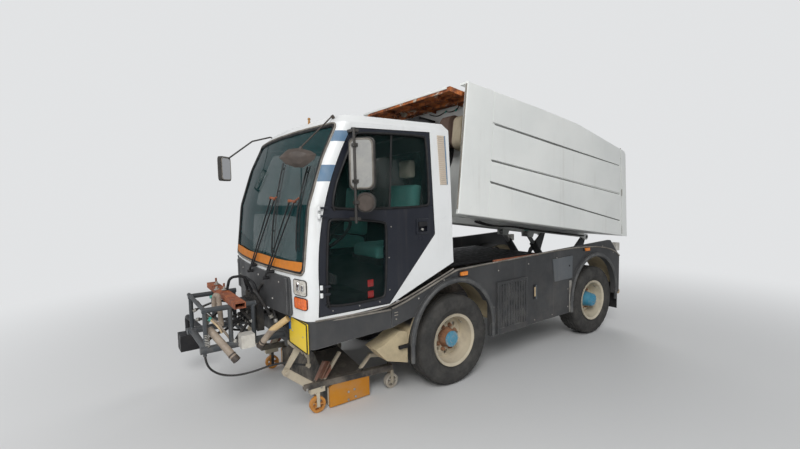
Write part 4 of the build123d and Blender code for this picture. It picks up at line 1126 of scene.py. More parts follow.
# %% Front panel
panel_depth = 0.014
folds = []
for x in (-0.64, 0.64):
    depth = cab_front(x, 1.0) - panel_depth
    folds.append(block("fold", (x - 0.02, depth - 0.013, 0.868), (x + 0.02, depth + 0.006, 1.136), 0.009, 3))
dress(join("panel_folds", folds), panel_grey)

screw_spots = ((0.112, 1.092), (-0.398, 1.085), (0.398, 0.944), (-0.2, 0.944), (0.52, 1.09), (-0.56, 1.0))
screw_places = [(x, cab_front(x, z) - panel_depth + 0.002, z) for x, z in screw_spots]
dress(bolts("panel_screws", screw_places, (0, -0.007, 0), 0.009, 12, tip=0.006), pale_steel)

rims, bowls = [], []
for side in (-1, 1):
    for low, high in ((1.032, 1.14), (0.932, 1.012)):
        outline = around((0.73, low), (0.868, high), 0.014, 6)
        ring = [(side * x, cab_front(x, z) - 0.006, z) for x, z in outline]
        rims.append(hose("lamp_rim", ring + ring[:2], 0.005, 6, 2))
dress(join("lamp_rims", rims), seal_rubber)
for side in (-1, 1):
    for x, z, size in ((0.775, 1.09, 0.036), (0.832, 1.084, 0.026)):
        depth = cab_front(x, z)
        start, end = (side * x, depth - 0.006, z), (side * x, depth - 0.011, z)
        bowls.append(rod("bowl", start, end, size, 24, tip=size * 0.8))
dress(join("lamp_reflectors", bowls), mirror_glass)

plate_low, plate_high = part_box("number_plate")
outline = around((plate_low[0], plate_low[2]), (plate_high[0], plate_high[2]), 0.008, 6)
ring = [(x, plate_low[1] - 0.001, z) for x, z in outline]
dress(hose("plate_frame", ring + ring[:2], 0.005, 6, 2), seal_rubber)
blue_band = block(
    "plate_band",
    (plate_low[0] + 0.004, plate_low[1] - 0.002, plate_high[2] - 0.105),
    (plate_low[0] + 0.04, plate_low[1] + 0.002, plate_high[2] - 0.005),
    0.001,
)
blue_paint = rubber("plate_blue", tone(0.01, 0.13, 0.42), tone(0.05, 0.2, 0.45), dust=0.3, rough=0.4)
dress(blue_band, blue_paint)
stud_places = [(x, plate_low[1] + 0.002, 0.725) for x in (plate_low[0] + 0.07, plate_high[0] - 0.07)]
dress(bolts("plate_studs", stud_places, (0, -0.006, 0), 0.007, 12, 0, tip=0.005), pale_steel)
straps = []
for x in (0.56, 0.64):
    corners = ((x, -1.878, 0.66), (x + 0.035, -1.878, 0.66), (x - 0.01, -1.8, 0.5), (x - 0.045, -1.8, 0.5))
    straps.append(plate("strap", corners, (0, 0.006, 0.002), 0.001))
dress(join("plate_straps", straps), steel_cream)
print("plate", [round(high - low, 3) for low, high in zip(plate_low, plate_high)])

# %% [markdown]
# ## Tape, beacon stub and bumper strips
# Two strips of blue tape are wrapped round the windscreen pillar. They are cut from a copy of the
# cab's own skin, pushed out by a hair, so they fit its curve.

# %% Blue tape on the pillar
blue_tape = rubber("blue_tape", tone(0.11, 0.2, 0.31), tone(0.22, 0.28, 0.34), dust=0.6, rough=0.6)
tape_bands = ((1.832, 1.948), (2.118, 2.195))
tape_reach = 0.862
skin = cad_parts["cab_shell"]
tape = skin.copy()
tape.data = skin.data.copy()
bpy.context.scene.collection.objects.link(tape)
pick_up(tape)
bpy.ops.object.mode_set(mode="EDIT")
bpy.ops.mesh.select_all(action="SELECT")
bpy.ops.mesh.remove_doubles(threshold=0.0001)
for low, high in tape_bands:
    for height in (low, high):
        bpy.ops.mesh.select_all(action="SELECT")
        bpy.ops.mesh.bisect(plane_co=(0, 0, height), plane_no=(0, 0, 1))
bpy.ops.mesh.select_all(action="SELECT")
bpy.ops.mesh.bisect(plane_co=(tape_reach, 0, 0), plane_no=(1, 0, 0))
bpy.ops.object.mode_set(mode="OBJECT")
for face in tape.data.polygons:
    middle = face.center
    in_band = any(low < middle.z < high for low, high in tape_bands)
    outward = face.normal.x > 0.3 and middle.x > tape_reach
    face.select = not (in_band and outward and middle.y < cab_front(0.9, middle.z) + 0.035)
bpy.ops.object.mode_set(mode="EDIT")
bpy.ops.mesh.select_mode(type="FACE")
bpy.ops.mesh.delete(type="FACE")
bpy.ops.object.mode_set(mode="OBJECT")
modified(tape, "SOLIDIFY", thickness=0.0015, offset=1)
tape.name = "pillar_tape"
smooth(tape)
dress(tape, blue_tape)
print("tape faces", len(tape.data.polygons))

# %% Beacon stub and bumper strips
stub = rod("stub", (0.364, -1.598, 2.312), (0.364, -1.598, 2.352), 0.011, 14, tip=0.008, rounding=0.001)
cap = rod("cap", (0.364, -1.598, 2.35), (0.364, -1.598, 2.364), 0.014, 14, tip=0.009, rounding=0.002)
brass = metal("old_brass", tone(0.45, 0.24, 0.08), tone(0.26, 0.13, 0.05), rough=0.5, metallic=0.5, dust=0.3)
dress(join("beacon_stub", (stub, cap)), brass)

door_skin = 0.902
strips = []
for side in (-1, 1):
    x = side * door_skin
    sill = ((x, -1.836, 0.852), (x, -1.6, 0.848), (x, -1.22, 0.842), (x, -0.86, 0.955), (x, -0.53, 1.072))
    strips.append(hose("sill", sill, 0.007, 8, 6))
    lip = ((side * 0.6, -1.884, 0.842), (side * 0.84, -1.884, 0.838), (x, -1.82, 0.836), (x, -1.2, 0.824))
    strips.append(hose("lip", lip, 0.008, 8, 10))
dress(join("sill_strips", strips), dusty_seal)
clips = []
for side in (-1, 1):
    for z in (0.792, 0.77):
        clips.append(rod("clip", (side * 0.898, -1.165, z), (side * 0.906, -1.135, z + 0.004), 0.004, 8))
dress(join("sill_clips", clips), pale_steel)
print("strips", len(strips))

# %% [markdown]
# ## Doors
# Each door gets black seals round its two panes, the bar between the sliding panes, a pull in its
# recess with a lock beside it, and pale hinge pins. They ride on the door, so they open with it.
# The right door is the left one's mirror image, so one loop makes both.

# %% Door seals, bars and pulls
upper_pane = ((-1.693, 1.625), (-1.64, 1.83), (-1.478, 2.19), (-0.818, 2.204), (-0.788, 1.625))
lower_pane = ((-1.752, 0.93), (-1.716, 1.572), (-1.22, 1.522), (-1.244, 0.93))
pane_reach = 0.89
pin_heights = (1.033, 1.089, 1.59, 1.646)
door_screws = ((-1.205, 0.985), (-1.205, 1.24), (-1.18, 1.48), (-1.7, 0.905), (-1.48, 0.905), (-1.3, 0.905))


def eased(corners, ease=0.03):
    """A closed outline whose corners are cut short, for a seal that turns them gently."""
    route = []
    for index, corner in enumerate(corners):
        here = Vector(corner)
        for other in (corners[index - 1], corners[(index + 1) % len(corners)]):
            route.append(here + (Vector(other) - here).normalized() * ease)
    return route + route[:2]


def on_side(side, reach, points):
    """Points of (y, z) set out on the left (1) or right (-1) side of the truck."""
    return [(side * reach, y, z) for y, z in points]


for name, side in both_sides:
    body = f"door_{name}"
    seals = []
    for pane_corners in (upper_pane, lower_pane):
        seals.append(hose("seal", on_side(side, door_skin, eased(pane_corners)), 0.01, 8, 3))
    dress(join(f"door_seals_{name}", seals), seal_rubber, body)
    bar = rod("bar", *on_side(side, pane_reach, ((-1.153, 2.2), (-1.183, 1.622))), 0.008, 10)
    rail = rod("rail", *on_side(side, pane_reach, ((-1.69, 1.628), (-0.795, 1.628))), 0.007, 10)
    dress(join(f"window_bars_{name}", (bar, rail)), seal_rubber, body)
    pull = block(f"door_pull_{name}", (side * 0.9, -0.912, 1.466), (side * 0.917, -0.828, 1.503), 0.004)
    dress(pull, black_plastic, body)
    lock_places = on_side(side, 0.893, ((-0.868, 1.44),))
    dress(bolts(f"door_lock_{name}", lock_places, (side * 0.012, 0, 0), 0.01, 16, 0.002), pale_steel, body)
    pin_places = [(side * 0.916, -1.79, z - 0.017) for z in pin_heights]
    dress(bolts(f"hinge_pins_{name}", pin_places, (0, 0, 0.034), 0.011, 14, 0.002), cab_white, body)
    screw_places = on_side(side, 0.897, door_screws)
    dress(bolts(f"door_screws_{name}", screw_places, (side * 0.0065, 0, 0), 0.005), pale_steel, body)
print("doors dressed")

# %% [markdown]
# ## Cab sides and mirrors
# Behind each door a tall vent has fine beige slats and a blue rear edge. The mirrors get a shell
# on one face and their glass on the other, each in a rim. The kerb mirror's housing is a folded
# shell with pointed ends, so it is modelled here in place of the construction model's plain one,
# with its wire.

# %% Vents
vent_beige = rubber("vent_beige", tone(0.62, 0.53, 0.43), tone(0.44, 0.36, 0.28), dust=0.35, rough=0.6)
slat_count = 24
slat_start = 1.812
slat_gap = 0.0172
vent_foot = 1.805
vent_height = 0.42
for name, side in both_sides:
    slats = []
    for step in range(slat_count):
        z = slat_start + slat_gap * step
        rise = (z - vent_foot) / vent_height
        low = (side * 0.896, -0.671 - 0.03 * rise, z - 0.0075)
        high = (side * 0.905, -0.597 - 0.027 * rise, z + 0.0075)
        slats.append(block("slat", low, high, 0.002, 1))
    dress(join(f"vent_slats_{name}", slats), vent_beige)
    edge = on_side(side, 0.901, ((-0.592, 1.806), (-0.618, 2.214)))
    dress(rod(f"vent_edge_{name}", *edge, 0.007, 10), blue_tape)


# %% Side mirrors
def mirror_face(name, centre, along, size, depth, corner, body, finish):
    """A pane in a dark rim on one face of a mirror head; depth is how far it stands out, and which way."""
    wide, high = size[0] / 2, size[1] / 2
    along = Vector((*along, 0)).normalized()
    facing = Vector((along.y, -along.x, 0))
    middle = Vector(centre) + facing * depth
    flat = around((-wide, -high), (wide, high), corner, 8)
    outline = [middle + along * u + Vector((0, 0, v)) for u, v in flat]
    rim = hose(f"{name}_rim", [*outline, *outline[:2]], 0.006, 8, 2)
    dress(rim, finish if finish is shell_brown else dusty_seal, body)
    pane_piece = plate(f"{name}_pane", outline, facing * (0.002 if depth > 0 else -0.002))
    dress(pane_piece, finish, body)


shell_brown = rubber("shell_brown", tone(0.06, 0.048, 0.041), tone(0.15, 0.12, 0.1), dust=0.4, rough=0.45)
shell_grey = rubber("shell_grey", tone(0.3, 0.3, 0.29), tone(0.44, 0.42, 0.38), dust=0.6, rough=0.35)
mirror_table = (
    # name, body, shell's finish, corner, depth of the shell's face and of the glass,
    # centre, along, size
    ("big", "door_left", shell_grey, 0.04, 0.003, -0.037,
     (1.01, -1.495, 1.953), (0.73, 0.68), (0.165, 0.345)),
    ("round", "door_left", shell_brown, 0.055, 0.003, -0.033,
     (1.025, -1.478, 1.678), (0.73, 0.68), (0.118, 0.118)),
    ("far", "chassis", shell_grey, 0.03, -0.003, 0.037,
     (-1.01, -1.965, 2.03), (-0.73, 0.68), (0.165, 0.225)),
)
for name, body, shell, corner, shell_depth, glass_depth, centre, along, size in mirror_table:
    mirror_face(f"{name}_shell", centre, along, size, shell_depth, corner, body, shell)
    mirror_face(f"{name}_glass", centre, along, size, glass_depth, corner, body, mirror_glass)
print("mirrors glazed", len(mirror_table))

# %% Kerb mirror
kerb_centre = Vector((0.848, -1.9, 1.995))
kerb_along = Vector((0.58, 0.82, 0)).normalized()
kerb_facing = Vector((0.82, -0.58, 0)).normalized()
kerb_outline = (
    (-0.129, 0.002),
    (-0.065, 0.056),
    (0.012, 0.064),
    (0.088, 0.044),
    (0.129, 0.018),
    (0.114, -0.017),
    (0.036, -0.07),
    (-0.022, -0.068),
    (-0.088, -0.041),
)


def kerb_ring(share, depth):
    """The housing's outline, drawn in to a share of its size and pushed back by a depth."""
    middle = kerb_centre + kerb_facing * depth
    return [middle + kerb_along * (u * share) + Vector((0, 0, v * share)) for u, v in kerb_outline]


rings = (kerb_ring(0.97, 0.001), kerb_ring(1.0, 0.01), kerb_ring(0.62, 0.032), kerb_ring(0.2, 0.037))
count = len(kerb_outline)
kerb_faces = [tuple(reversed(range(count))), tuple(range(3 * count, 4 * count))]
for layer in range(len(rings) - 1):
    for step in range(count):
        after = (step + 1) % count
        low, high = layer * count, (layer + 1) * count
        kerb_faces.append((low + step, low + after, high + after, high + step))
kerb_mirror = drawn("kerb_mirror", [point for ring in rings for point in ring], [], kerb_faces)
bpy.ops.object.mode_set(mode="EDIT")
bpy.ops.mesh.select_all(action="SELECT")
bpy.ops.mesh.normals_make_consistent(inside=False)
bpy.ops.object.mode_set(mode="OBJECT")
soften(kerb_mirror, 0.003)
smooth(kerb_mirror, 25)
dress(kerb_mirror, shell_brown)
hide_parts("mirror_front")
kerb_pane = plate("kerb_pane", kerb_ring(0.92, 0.0), kerb_facing * -0.002)
dress(kerb_pane, mirror_glass)
wire = rod("wire", (0.754, -1.584, 2.318), (0.865, -1.89, 2.056), 0.0055, 10)
foot = rod("foot", (0.752, -1.572, 2.304), (0.754, -1.588, 2.321), 0.013, 14, rounding=0.002)
knuckle = rod("knuckle", (0.862, -1.88, 2.066), (0.872, -1.908, 2.01), 0.011, 14, rounding=0.003)
dress(join("kerb_wire", (wire, foot, knuckle)), shell_brown)
print("kerb mirror folded")

# %% Door reflectors
reflectors = [block("reflector", (0.874, -1.392, z), (0.88, -1.34, z + 0.055), 0.003) for z in (0.943, 1.029)]
dress(join("door_reflectors", reflectors), lens_red, "door_left")
print("reflectors", len(reflectors))

# %% [markdown]
# ## Padded seats
# A seat is foam in a cover, so it isn't left as a block. Each pad starts as a rounded block a
# little smaller than its place, is remeshed into an even net and blown up by a short cloth
# simulation with gravity off. A cap holds how far a point may move, so that the pad stays clear
# of what is beside it. The two seats are alike, so each pad is simulated once and copied.

# %% Seat pads
pad_cap = 0.014
pad_net = 0.016
pad_pressure = 4
pad_steps = 20


def pad(name, low, high, rounding, lean=0.0):
    """A crowned cushion between two corners, leaning back by an angle round its foot."""
    piece = modified(block(name, low, high, rounding, 4), "REMESH", mode="VOXEL", voxel_size=pad_net)
    rest = [vertex.co.copy() for vertex in piece.data.vertices]
    bpy.ops.object.modifier_add(type="CLOTH")
    cloth = piece.modifiers[-1]
    cloth.settings.use_pressure = True
    cloth.settings.uniform_pressure_force = pad_pressure
    cloth.settings.effector_weights.gravity = 0
    for step in range(1, pad_steps + 1):
        bpy.context.scene.frame_set(step)
    bpy.ops.object.modifier_apply(modifier=cloth.name)
    bpy.context.scene.frame_set(1)
    for vertex, start in zip(piece.data.vertices, rest):
        moved = vertex.co - start
        if moved.length > pad_cap:
            vertex.co = start + moved.normalized() * pad_cap
    modified(piece, "SUBSURF")
    if lean:
        foot = Vector(((low[0] + high[0]) / 2, low[1], low[2]))
        turn = Matrix.Translation(foot) @ Matrix.Rotation(lean, 4, "X") @ Matrix.Translation(-foot)
        piece.data.transform(turn)
    return smooth(piece, 60)


weave = 420
seat_cloth = rubber("seat_cloth", tone(0.09, 0.33, 0.29), tone(0.2, 0.36, 0.32), 0.4, 0.9, grain=weave)
head_cloth = rubber("head_cloth", tone(0.66, 0.63, 0.5), tone(0.52, 0.49, 0.4), 0.5, 0.9, grain=weave)
pad_table = (
    # name, low, high, rounding, lean, finish, fill
    ("cushion", (0.215, -1.165, 1.185), (0.665, -0.74, 1.29), 0.045, 0.0, seat_cloth, 0.7),
    ("backrest", (0.225, -0.8, 1.3), (0.655, -0.715, 1.835), 0.036, radians(-6.5), seat_cloth, 0.7),
    ("headrest", (0.345, -0.712, 1.88), (0.535, -0.64, 2.045), 0.03, 0.0, head_cloth, 0.8),
)
for name, low, high, rounding, lean, finish, fill in pad_table:
    left_pad = pad(f"{name}_left", low, high, rounding, lean)
    right_pad = left_pad.copy()
    right_pad.data = left_pad.data.copy()
    right_pad.name = f"{name}_right"
    bpy.context.scene.collection.objects.link(right_pad)
    right_pad.data.transform(Matrix.Translation((-(low[0] + high[0]), 0, 0)))
    for piece in (left_pad, right_pad):
        dress(piece, finish)
print("pads", 2 * len(pad_table))

# %% Seat frames
for name, side in both_sides:
    parts = [
        block("foot", (side * 0.26, -1.12, 1.128), (side * 0.62, -0.74, 1.172), 0.006),
        block("pan", (side * 0.22, -1.16, 1.168), (side * 0.66, -0.75, 1.195), 0.008),
        block("shell", (side * 0.24, -0.742, 1.24), (side * 0.64, -0.722, 1.6), 0.008),
        rod("post", (side * 0.4, -0.68, 1.8), (side * 0.4, -0.676, 1.9), 0.006, 10),
        rod("post", (side * 0.48, -0.68, 1.8), (side * 0.48, -0.676, 1.9), 0.006, 10),
    ]
    seat_frame = dress(join(f"seat_frame_{name}", parts), black_plastic)
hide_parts("seats")
print("seat frames ready")

# %% [markdown]
# ## Side panels
# A rubber edge runs along the top of each side panel and a rounded lip round each wheel arch.
# Below the lids a bare steel strip, screws, a latch and the frames of the marker lamps finish
# the panel. Both sides are alike.

# %% Panel edges and arch lips
panel_edge = (
    (2.3, 0.905), (2.085, 1.118), (-0.451, 1.058), (-0.52, 1.05), (-1.12, 0.838), (-1.19, 0.832),
)
arch_table = (
    # centre y, centre z, front foot z, rear foot z
    (-0.52, 0.495, 0.345, 0.37),
    (1.72, 0.5, 0.37, 0.37),
)
arch_lip = 0.4775
arch_steps = 24
arch_angles = [pi * step / arch_steps for step in range(arch_steps + 1)]

for name, side in both_sides:
    edge = hose(f"panel_edge_{name}", on_side(side, 0.901, panel_edge), 0.009, 8, 6)
    dress(edge, dusty_seal)
    lips = []
    for centre_y, centre_z, front_foot, rear_foot in arch_table:
        rear_y, front_y = centre_y + arch_lip, centre_y - arch_lip
        arc = [(centre_y + arch_lip * cos(angle), centre_z + arch_lip * sin(angle)) for angle in arch_angles]
        route = [(rear_y, rear_foot), (rear_y, rear_foot + 0.05), *arc]
        route += [(front_y, front_foot + 0.05), (front_y, front_foot)]
        lips.append(hose("lip", on_side(side, 0.913, route), 0.019, 12, 3))
    dress(join(f"arch_lips_{name}", lips), flare_rubber)
print("edges and lips", 2 * (1 + len(arch_table)))

# %% Strips, screws, latches and lamp frames
panel_screws = (
    (-0.02, 0.64), (-0.02, 0.44), (0.3, 0.4), (0.6, 0.4), (0.9, 0.4), (1.19, 0.44),
    (1.19, 0.64), (0.05, 0.985), (0.5, 1.0), (0.98, 1.01), (1.9, 1.06), (2.15, 0.96),
    (-0.64, 0.985), (-0.92, 0.87), (-1.15, 0.74),
)
for name, side in both_sides:
    strip = block(f"panel_strip_{name}", (side * 0.9, 1.215, 0.375), (side * 0.909, 1.25, 0.73), 0.002)
    dress(strip, pale_steel)
    angle_iron = block(f"panel_angle_{name}", (side * 0.88, -0.01, 1.072), (side * 0.903, 0.667, 1.09), 0.003)
    dress(angle_iron, beam_rust)
    screw_places = on_side(side, 0.898, panel_screws)
    screws = bolts(f"panel_screws_{name}", screw_places, (side * 0.0065, 0, 0), 0.007, 10, 0.0015)
    dress(screws, pale_steel)
    lock = rod("lock", (side * 0.9, 1.205, 0.901), (side * 0.91, 1.205, 0.901), 0.012, 16, rounding=0.002)
    plate_back = block("back", (side * 0.898, 0.575, 0.622), (side * 0.905, 0.617, 0.772), 0.003)
    dress(join(f"lid_latches_{name}", (lock, plate_back)), black_plastic)
    bar = block(f"latch_bar_{name}", (side * 0.903, 0.588, 0.65), (side * 0.913, 0.604, 0.748), 0.003)
    dress(bar, hose_cream)
    frames = []
    for y, z in ((-0.436, 1.016), (1.527, 1.063)):
        corners = [(y + u, z + v) for u, v in around((-0.036, -0.02), (0.036, 0.02), 0.01, 4)]
        ring = on_side(side, 0.903, corners)
        frames.append(hose("frame", [*ring, *ring[:2]], 0.005, 8, 2))
    dress(join(f"marker_frames_{name}", frames), seal_rubber)
    lamp_box = block(f"lamp_box_{name}", (side * 0.8, 2.262, 0.965), (side * 0.88, 2.345, 1.065), 0.008)
    dress(lamp_box, box_white)
    stub_place = (side * 0.8, 2.335, 0.437)
    dress(bolts(f"rear_stub_{name}", [stub_place], (side * 0.08, 0, 0), 0.03, 20, 0.005), hose_cream)
print("panels finished")

# %% [markdown]
# ## Hopper
# Rubber strips seal the hopper's front edges, cables hang across its front wall, and hoses run
# back beneath its floor. All of it rides on the hopper, so it tips with it. The dark sheet over
# the engine is painted shade, standing in for the deep shade under the hopper; it stays with the
# chassis, low enough for the hopper to come down.

# %% Hopper strips, seams and screws
hopper_screws = ((2.3, 2.245), (2.302, 2.12), (2.306, 1.96), (2.312, 1.76), (2.318, 1.56), (2.33, 1.32))
for name, side in both_sides:
    strips = [
        hose("strip", on_side(side, 0.886, ((-0.336, 2.69), (-0.4, 2.14), (-0.462, 1.592))), 0.009, 8, 4),
        hose("seam", on_side(side, 0.892, ((2.346, 2.19), (2.368, 1.175))), 0.004, 6, 4),
    ]
    dress(join(f"hopper_strips_{name}", strips), dusty_seal, "hopper")
    screw_places = on_side(side, 0.888, hopper_screws)
    screws = bolts(f"hopper_screws_{name}", screw_places, (side * 0.009, 0, 0), 0.006, 10, 0.0015)
    dress(screws, pale_steel, "hopper")
    latch = [
        block("keep", (side * 0.888, 2.318, 1.665), (side * 0.899, 2.356, 1.73), 0.003),
        rod("hook", (side * 0.9, 2.337, 1.655), (side * 0.9, 2.337, 1.74), 0.005, 10),
    ]
    dress(join(f"door_latch_{name}", latch), pale_steel, "hopper")

# painted shade: dark grey strips under the pressed steps and dark notches at their front ends stand in for
# the steps' shadows
painted_shade_grey = rubber("painted_shade_grey", tone(0.13, 0.135, 0.13), tone(0.24, 0.24, 0.225), dust=0.6, rough=0.8)
shade_reach = 0.889
step_table = (
    # front y, front z, rear y, rear z
    (0.017, 2.357, 2.3, 2.036),
    (-0.027, 2.02, 2.31, 1.673),
    (-0.044, 1.824, 2.32, 1.345),
)
for name, side in both_sides:
    shades = []
    for front_y, front_z, rear_y, rear_z in step_table:
        corners = (
            (front_y, front_z - 0.012), (rear_y, rear_z - 0.004),
            (rear_y, rear_z + 0.004), (front_y, front_z + 0.012),
        )
        shades.append(plate("shade", on_side(side, shade_reach, corners), (side * 0.0035, 0, 0)))
        low = (side * shade_reach, front_y, front_z - 0.045)
        high = (side * (shade_reach + 0.004), front_y + 0.03, front_z - 0.005)
        shades.append(block("notch_shade", low, high, 0.001, 1))
    dress(join(f"step_shades_{name}", shades), painted_shade_grey, "hopper")
hood_edge = block("hood_edge", (-0.85, -0.364, 2.69), (0.65, -0.35, 2.712), 0.003)
dress(hood_edge, hopper_white, "hopper")
print("hopper edges ready")

# %% Hopper cables and hoses
cable_routes = (
    ((-0.108, 0.063, 2.619), (-0.03, 0.05, 2.59), (0.069, 0.05, 2.572), (0.172, 0.055, 2.606)),
    ((0.172, 0.055, 2.606), (0.255, 0.045, 2.575), (0.334, 0.052, 2.596)),
    ((0.334, 0.052, 2.596), (0.385, 0.03, 2.6), (0.425, 0.012, 2.627)),
)
cables = [hose("cable", route, 0.006, 8) for route in cable_routes]
dress(join("hopper_cables", cables), hose_rubber, "hopper")
fittings = [
    rod("fitting", (0.322, 0.056, 2.59), (0.348, 0.048, 2.602), 0.011, 12, rounding=0.002),
    rod("fitting", (0.16, 0.058, 2.6), (0.184, 0.052, 2.61), 0.01, 12, rounding=0.002),
]
dress(join("cable_fittings", fittings), teal_plastic, "hopper")

line_route = ((0.264, 1.425), (0.443, 1.362), (0.858, 1.335), (1.128, 1.283), (1.7, 1.205), (2.249, 1.128))
line_gap = 0.034
lines = [hose("line", on_side(1, 0.378 + line_gap * number, line_route), 0.011, 8) for number in range(3)]
dress(join("floor_lines", lines), hose_rubber, "hopper")
union = rod("line_union", (0.378, 1.1, 1.288), (0.378, 1.16, 1.279), 0.017, 12, rounding=0.003)
dress(union, teal_plastic, "hopper")
# painted shade: a black sheet over the engine stands in for the shade under the hopper
shade_sheet = block("engine_shade_sheet", (-0.5, -0.2, 0.996), (0.5, 1.15, 1.01), 0.004)
dress(shade_sheet, black_plastic)
print("hopper lines", len(cables) + len(lines))

# %% [markdown]
# ## Front carrier and nozzle fittings
# The brooms are off, so their carrier shows its studs, hose ends and return spring. The nozzle
# gets the bolts of its wear plates and forks, which lift with it.

# %% Studs, fittings and spring
studs = []
for x, y, z in ((-0.282, -2.23, 0.982), (-0.126, -2.263, 0.967), (0.008, -2.232, 0.985)):
    studs.append(rod("washer", (x, y, z - 0.003), (x, y, z + 0.004), 0.022, 18, rounding=0.0015))
    studs.append(rod("stud", (x, y, z), (x, y, z + 0.024), 0.009, 6, rounding=0.001))
dress(join("carrier_studs", studs), pale_steel)

ends = [
    rod("end", (-0.282, -2.262, 0.877), (-0.282, -2.292, 0.877), 0.015, 12, rounding=0.003),
    rod("end", (0.247, -2.392, 0.836), (0.262, -2.408, 0.815), 0.012, 12, rounding=0.002),
]
dress(join("hose_ends", ends), teal_plastic)
thin_route = ((0.253, -2.399, 0.827), (0.3, -2.375, 0.8), (0.335, -2.35, 0.765), (0.327, -2.335, 0.727))
dress(hose("thin_hose", thin_route, 0.007), hose_cream)

spring_foot = Vector((0.306, -2.434, 0.64))
spring_height = 0.088
spring_radius = 0.017
turns = 7
steps_a_turn = 10
coil = []
for step in range(steps_a_turn * turns + 1):
    angle = 2 * pi * step / steps_a_turn
    climb = spring_height * step / (steps_a_turn * turns)
    coil.append(spring_foot + Vector((spring_radius * cos(angle), spring_radius * sin(angle), climb)))
dress(hose("return_spring", coil, 0.0035, 6, 2), pale_steel)
print("carrier fittings", len(studs) + len(ends) + 2)

# %% [markdown]
# ## Valve bank
# Behind the beam sits a bank of valves with a nest of black hoses. A manifold with two rows of
# capped spools stands on the bank's front, and each hose runs from a spool to a tube of the
# carrier, where it ends in a gland.

# %% Manifold, spools and hoses
manifold = block("manifold", (-0.13, -2.086, 0.685), (0.24, -2.048, 0.872), 0.006)
dress(manifold, valve_black)
spools, caps = [], []
for x in (-0.09, -0.01, 0.07, 0.15, 0.215):
    for z in (0.735, 0.822):
        spools.append(rod("spool", (x, -2.08, z), (x, -2.112, z), 0.018, 16, rounding=0.003))
        caps.append(rod("cap", (x, -2.11, z), (x, -2.12, z), 0.011, 6, rounding=0.001))
dress(join("spools", spools), valve_black)
dress(join("spool_caps", caps), pale_steel)

hose_table = (
    # radius, route
    (0.011, ((-0.09, -2.115, 0.735), (-0.12, -2.215, 0.69), (-0.2, -2.33, 0.72), (-0.275, -2.4, 0.7))),
    (0.011, ((-0.01, -2.115, 0.735), (0.02, -2.225, 0.65), (0.11, -2.34, 0.665), (0.2, -2.425, 0.64))),
    (0.01, ((0.07, -2.115, 0.822), (0.09, -2.2, 0.87), (0.15, -2.33, 0.85), (0.262, -2.425, 0.8))),
    (0.01, ((-0.09, -2.115, 0.822), (-0.15, -2.2, 0.865), (-0.22, -2.31, 0.84), (-0.28, -2.42, 0.78))),
    (0.012, ((0.215, -2.115, 0.735), (0.24, -2.19, 0.66), (0.29, -2.23, 0.64), (0.3, -2.24, 0.625))),
    (0.012, ((0.15, -2.115, 0.822), (0.2, -2.175, 0.87), (0.27, -2.15, 0.83), (0.285, -2.095, 0.76))),
    (0.009, ((-0.01, -2.115, 0.822), (-0.02, -2.18, 0.88), (-0.11, -2.17, 0.84), (-0.13, -2.1, 0.64))),
    (0.009, ((0.07, -2.115, 0.735), (0.08, -2.19, 0.7), (0.02, -2.2, 0.64), (0, -2.1, 0.62))),
    (0.007, ((0.15, -2.115, 0.735), (0.16, -2.23, 0.76), (0.06, -2.35, 0.78), (-0.06, -2.425, 0.9))),
    (0.012, ((0.215, -2.022, 0.925), (0.25, -2.08, 1.02), (0.34, -2.05, 0.96), (0.33, -1.96, 0.78))),
    (0.012, ((0.15, -2.022, 0.925), (0.19, -1.975, 1.06), (0.3, -1.955, 1), (0.345, -1.93, 0.74))),
)
nest, glands = [], []
for radius, route in hose_table:
    nest.append(hose("nest", route, radius, 10, 8))
    end, before = Vector(route[-1]), Vector(route[-2])
    back = (before - end).normalized()
    glands.append(rod("gland", end + back * 0.022, end - back * 0.006, radius * 1.45, 12, rounding=0.002))
dress(join("hose_nest", nest), hose_rubber)
dress(join("hose_glands", glands), zinc)

end_caps = []
for start, end, radius in (
    ((0.3, -2.335, 0.642), (0.4, -2.255, 0.52), 0.03),
    ((0.5, -2.015, 0.727), (0.4, -2.085, 0.59), 0.026),
):
    along = (Vector(end) - Vector(start)).normalized()
    end = Vector(end)
    end_caps.append(rod("cap", end - along * 0.035, end + along * 0.004, radius, 20, rounding=0.004))
    end_caps.append(rod("band", end - along * 0.06, end - along * 0.048, radius + 0.0005, 20, rounding=0.001))
dress(join("hose_end_caps", end_caps), shell_brown)
print("valve hoses", len(hose_table))

# %% Nozzle bolts and liner clamps
nozzle_bolts = (
    (-1.418, 0.095), (-1.362, 0.102), (-1.421, 0.029), (-1.353, 0.036), (-1.782, 0.22), (-1.661, 0.205),
)
for name, side in both_sides:
    heads = bolts(f"nozzle_bolts_{name}", on_side(side, 0.56, nozzle_bolts), (side * 0.013, 0, 0), 0.01, 6)
    dress(heads, pale_steel, "nozzle")
    clamp = block(f"liner_clamp_{name}", (side * 0.858, -1.106, 0.474), (side * 0.884, -1.003, 0.5), 0.004)
    dress(clamp, seal_rubber)
print("nozzle bolts ready")

# %% [markdown]
# ## Rear and the sides out of the photograph
# What the photograph doesn't show follows from what such a truck has: pressed ribs, a rail, steel
# keeps and a rubber foot on the hopper's rear door, a guard round each rear lamp, bolts on the
# bumper, mud flaps behind the rear wheels, and seams and a hatch on the hopper's roof.

# %% Hopper door
door_face_y = 2.4775
door_face_height = 1.2
door_lean = 0.0686
rib_xs = (-0.6, -0.2, 0.2, 0.6)
keep_xs = (-0.75, -0.4, 0.0, 0.4, 0.75)


def on_door(x, height, stand_off=0.0):
    """A point on the rear face of the hopper's door, which leans with the hopper."""
    return Vector((x, door_face_y - door_lean * (height - door_face_height) + stand_off, height))


def door_strip(name, middle, half, low, high, thickness, rounding=0.002):
    """A flat strip on the hopper's door, from its middle out to a half width on each side."""
    left, right = middle - half, middle + half
    corners = [on_door(x, z, -0.002) for x, z in ((left, low), (right, low), (right, high), (left, high))]
    return plate(name, corners, (0, thickness + 0.002, 0), rounding)


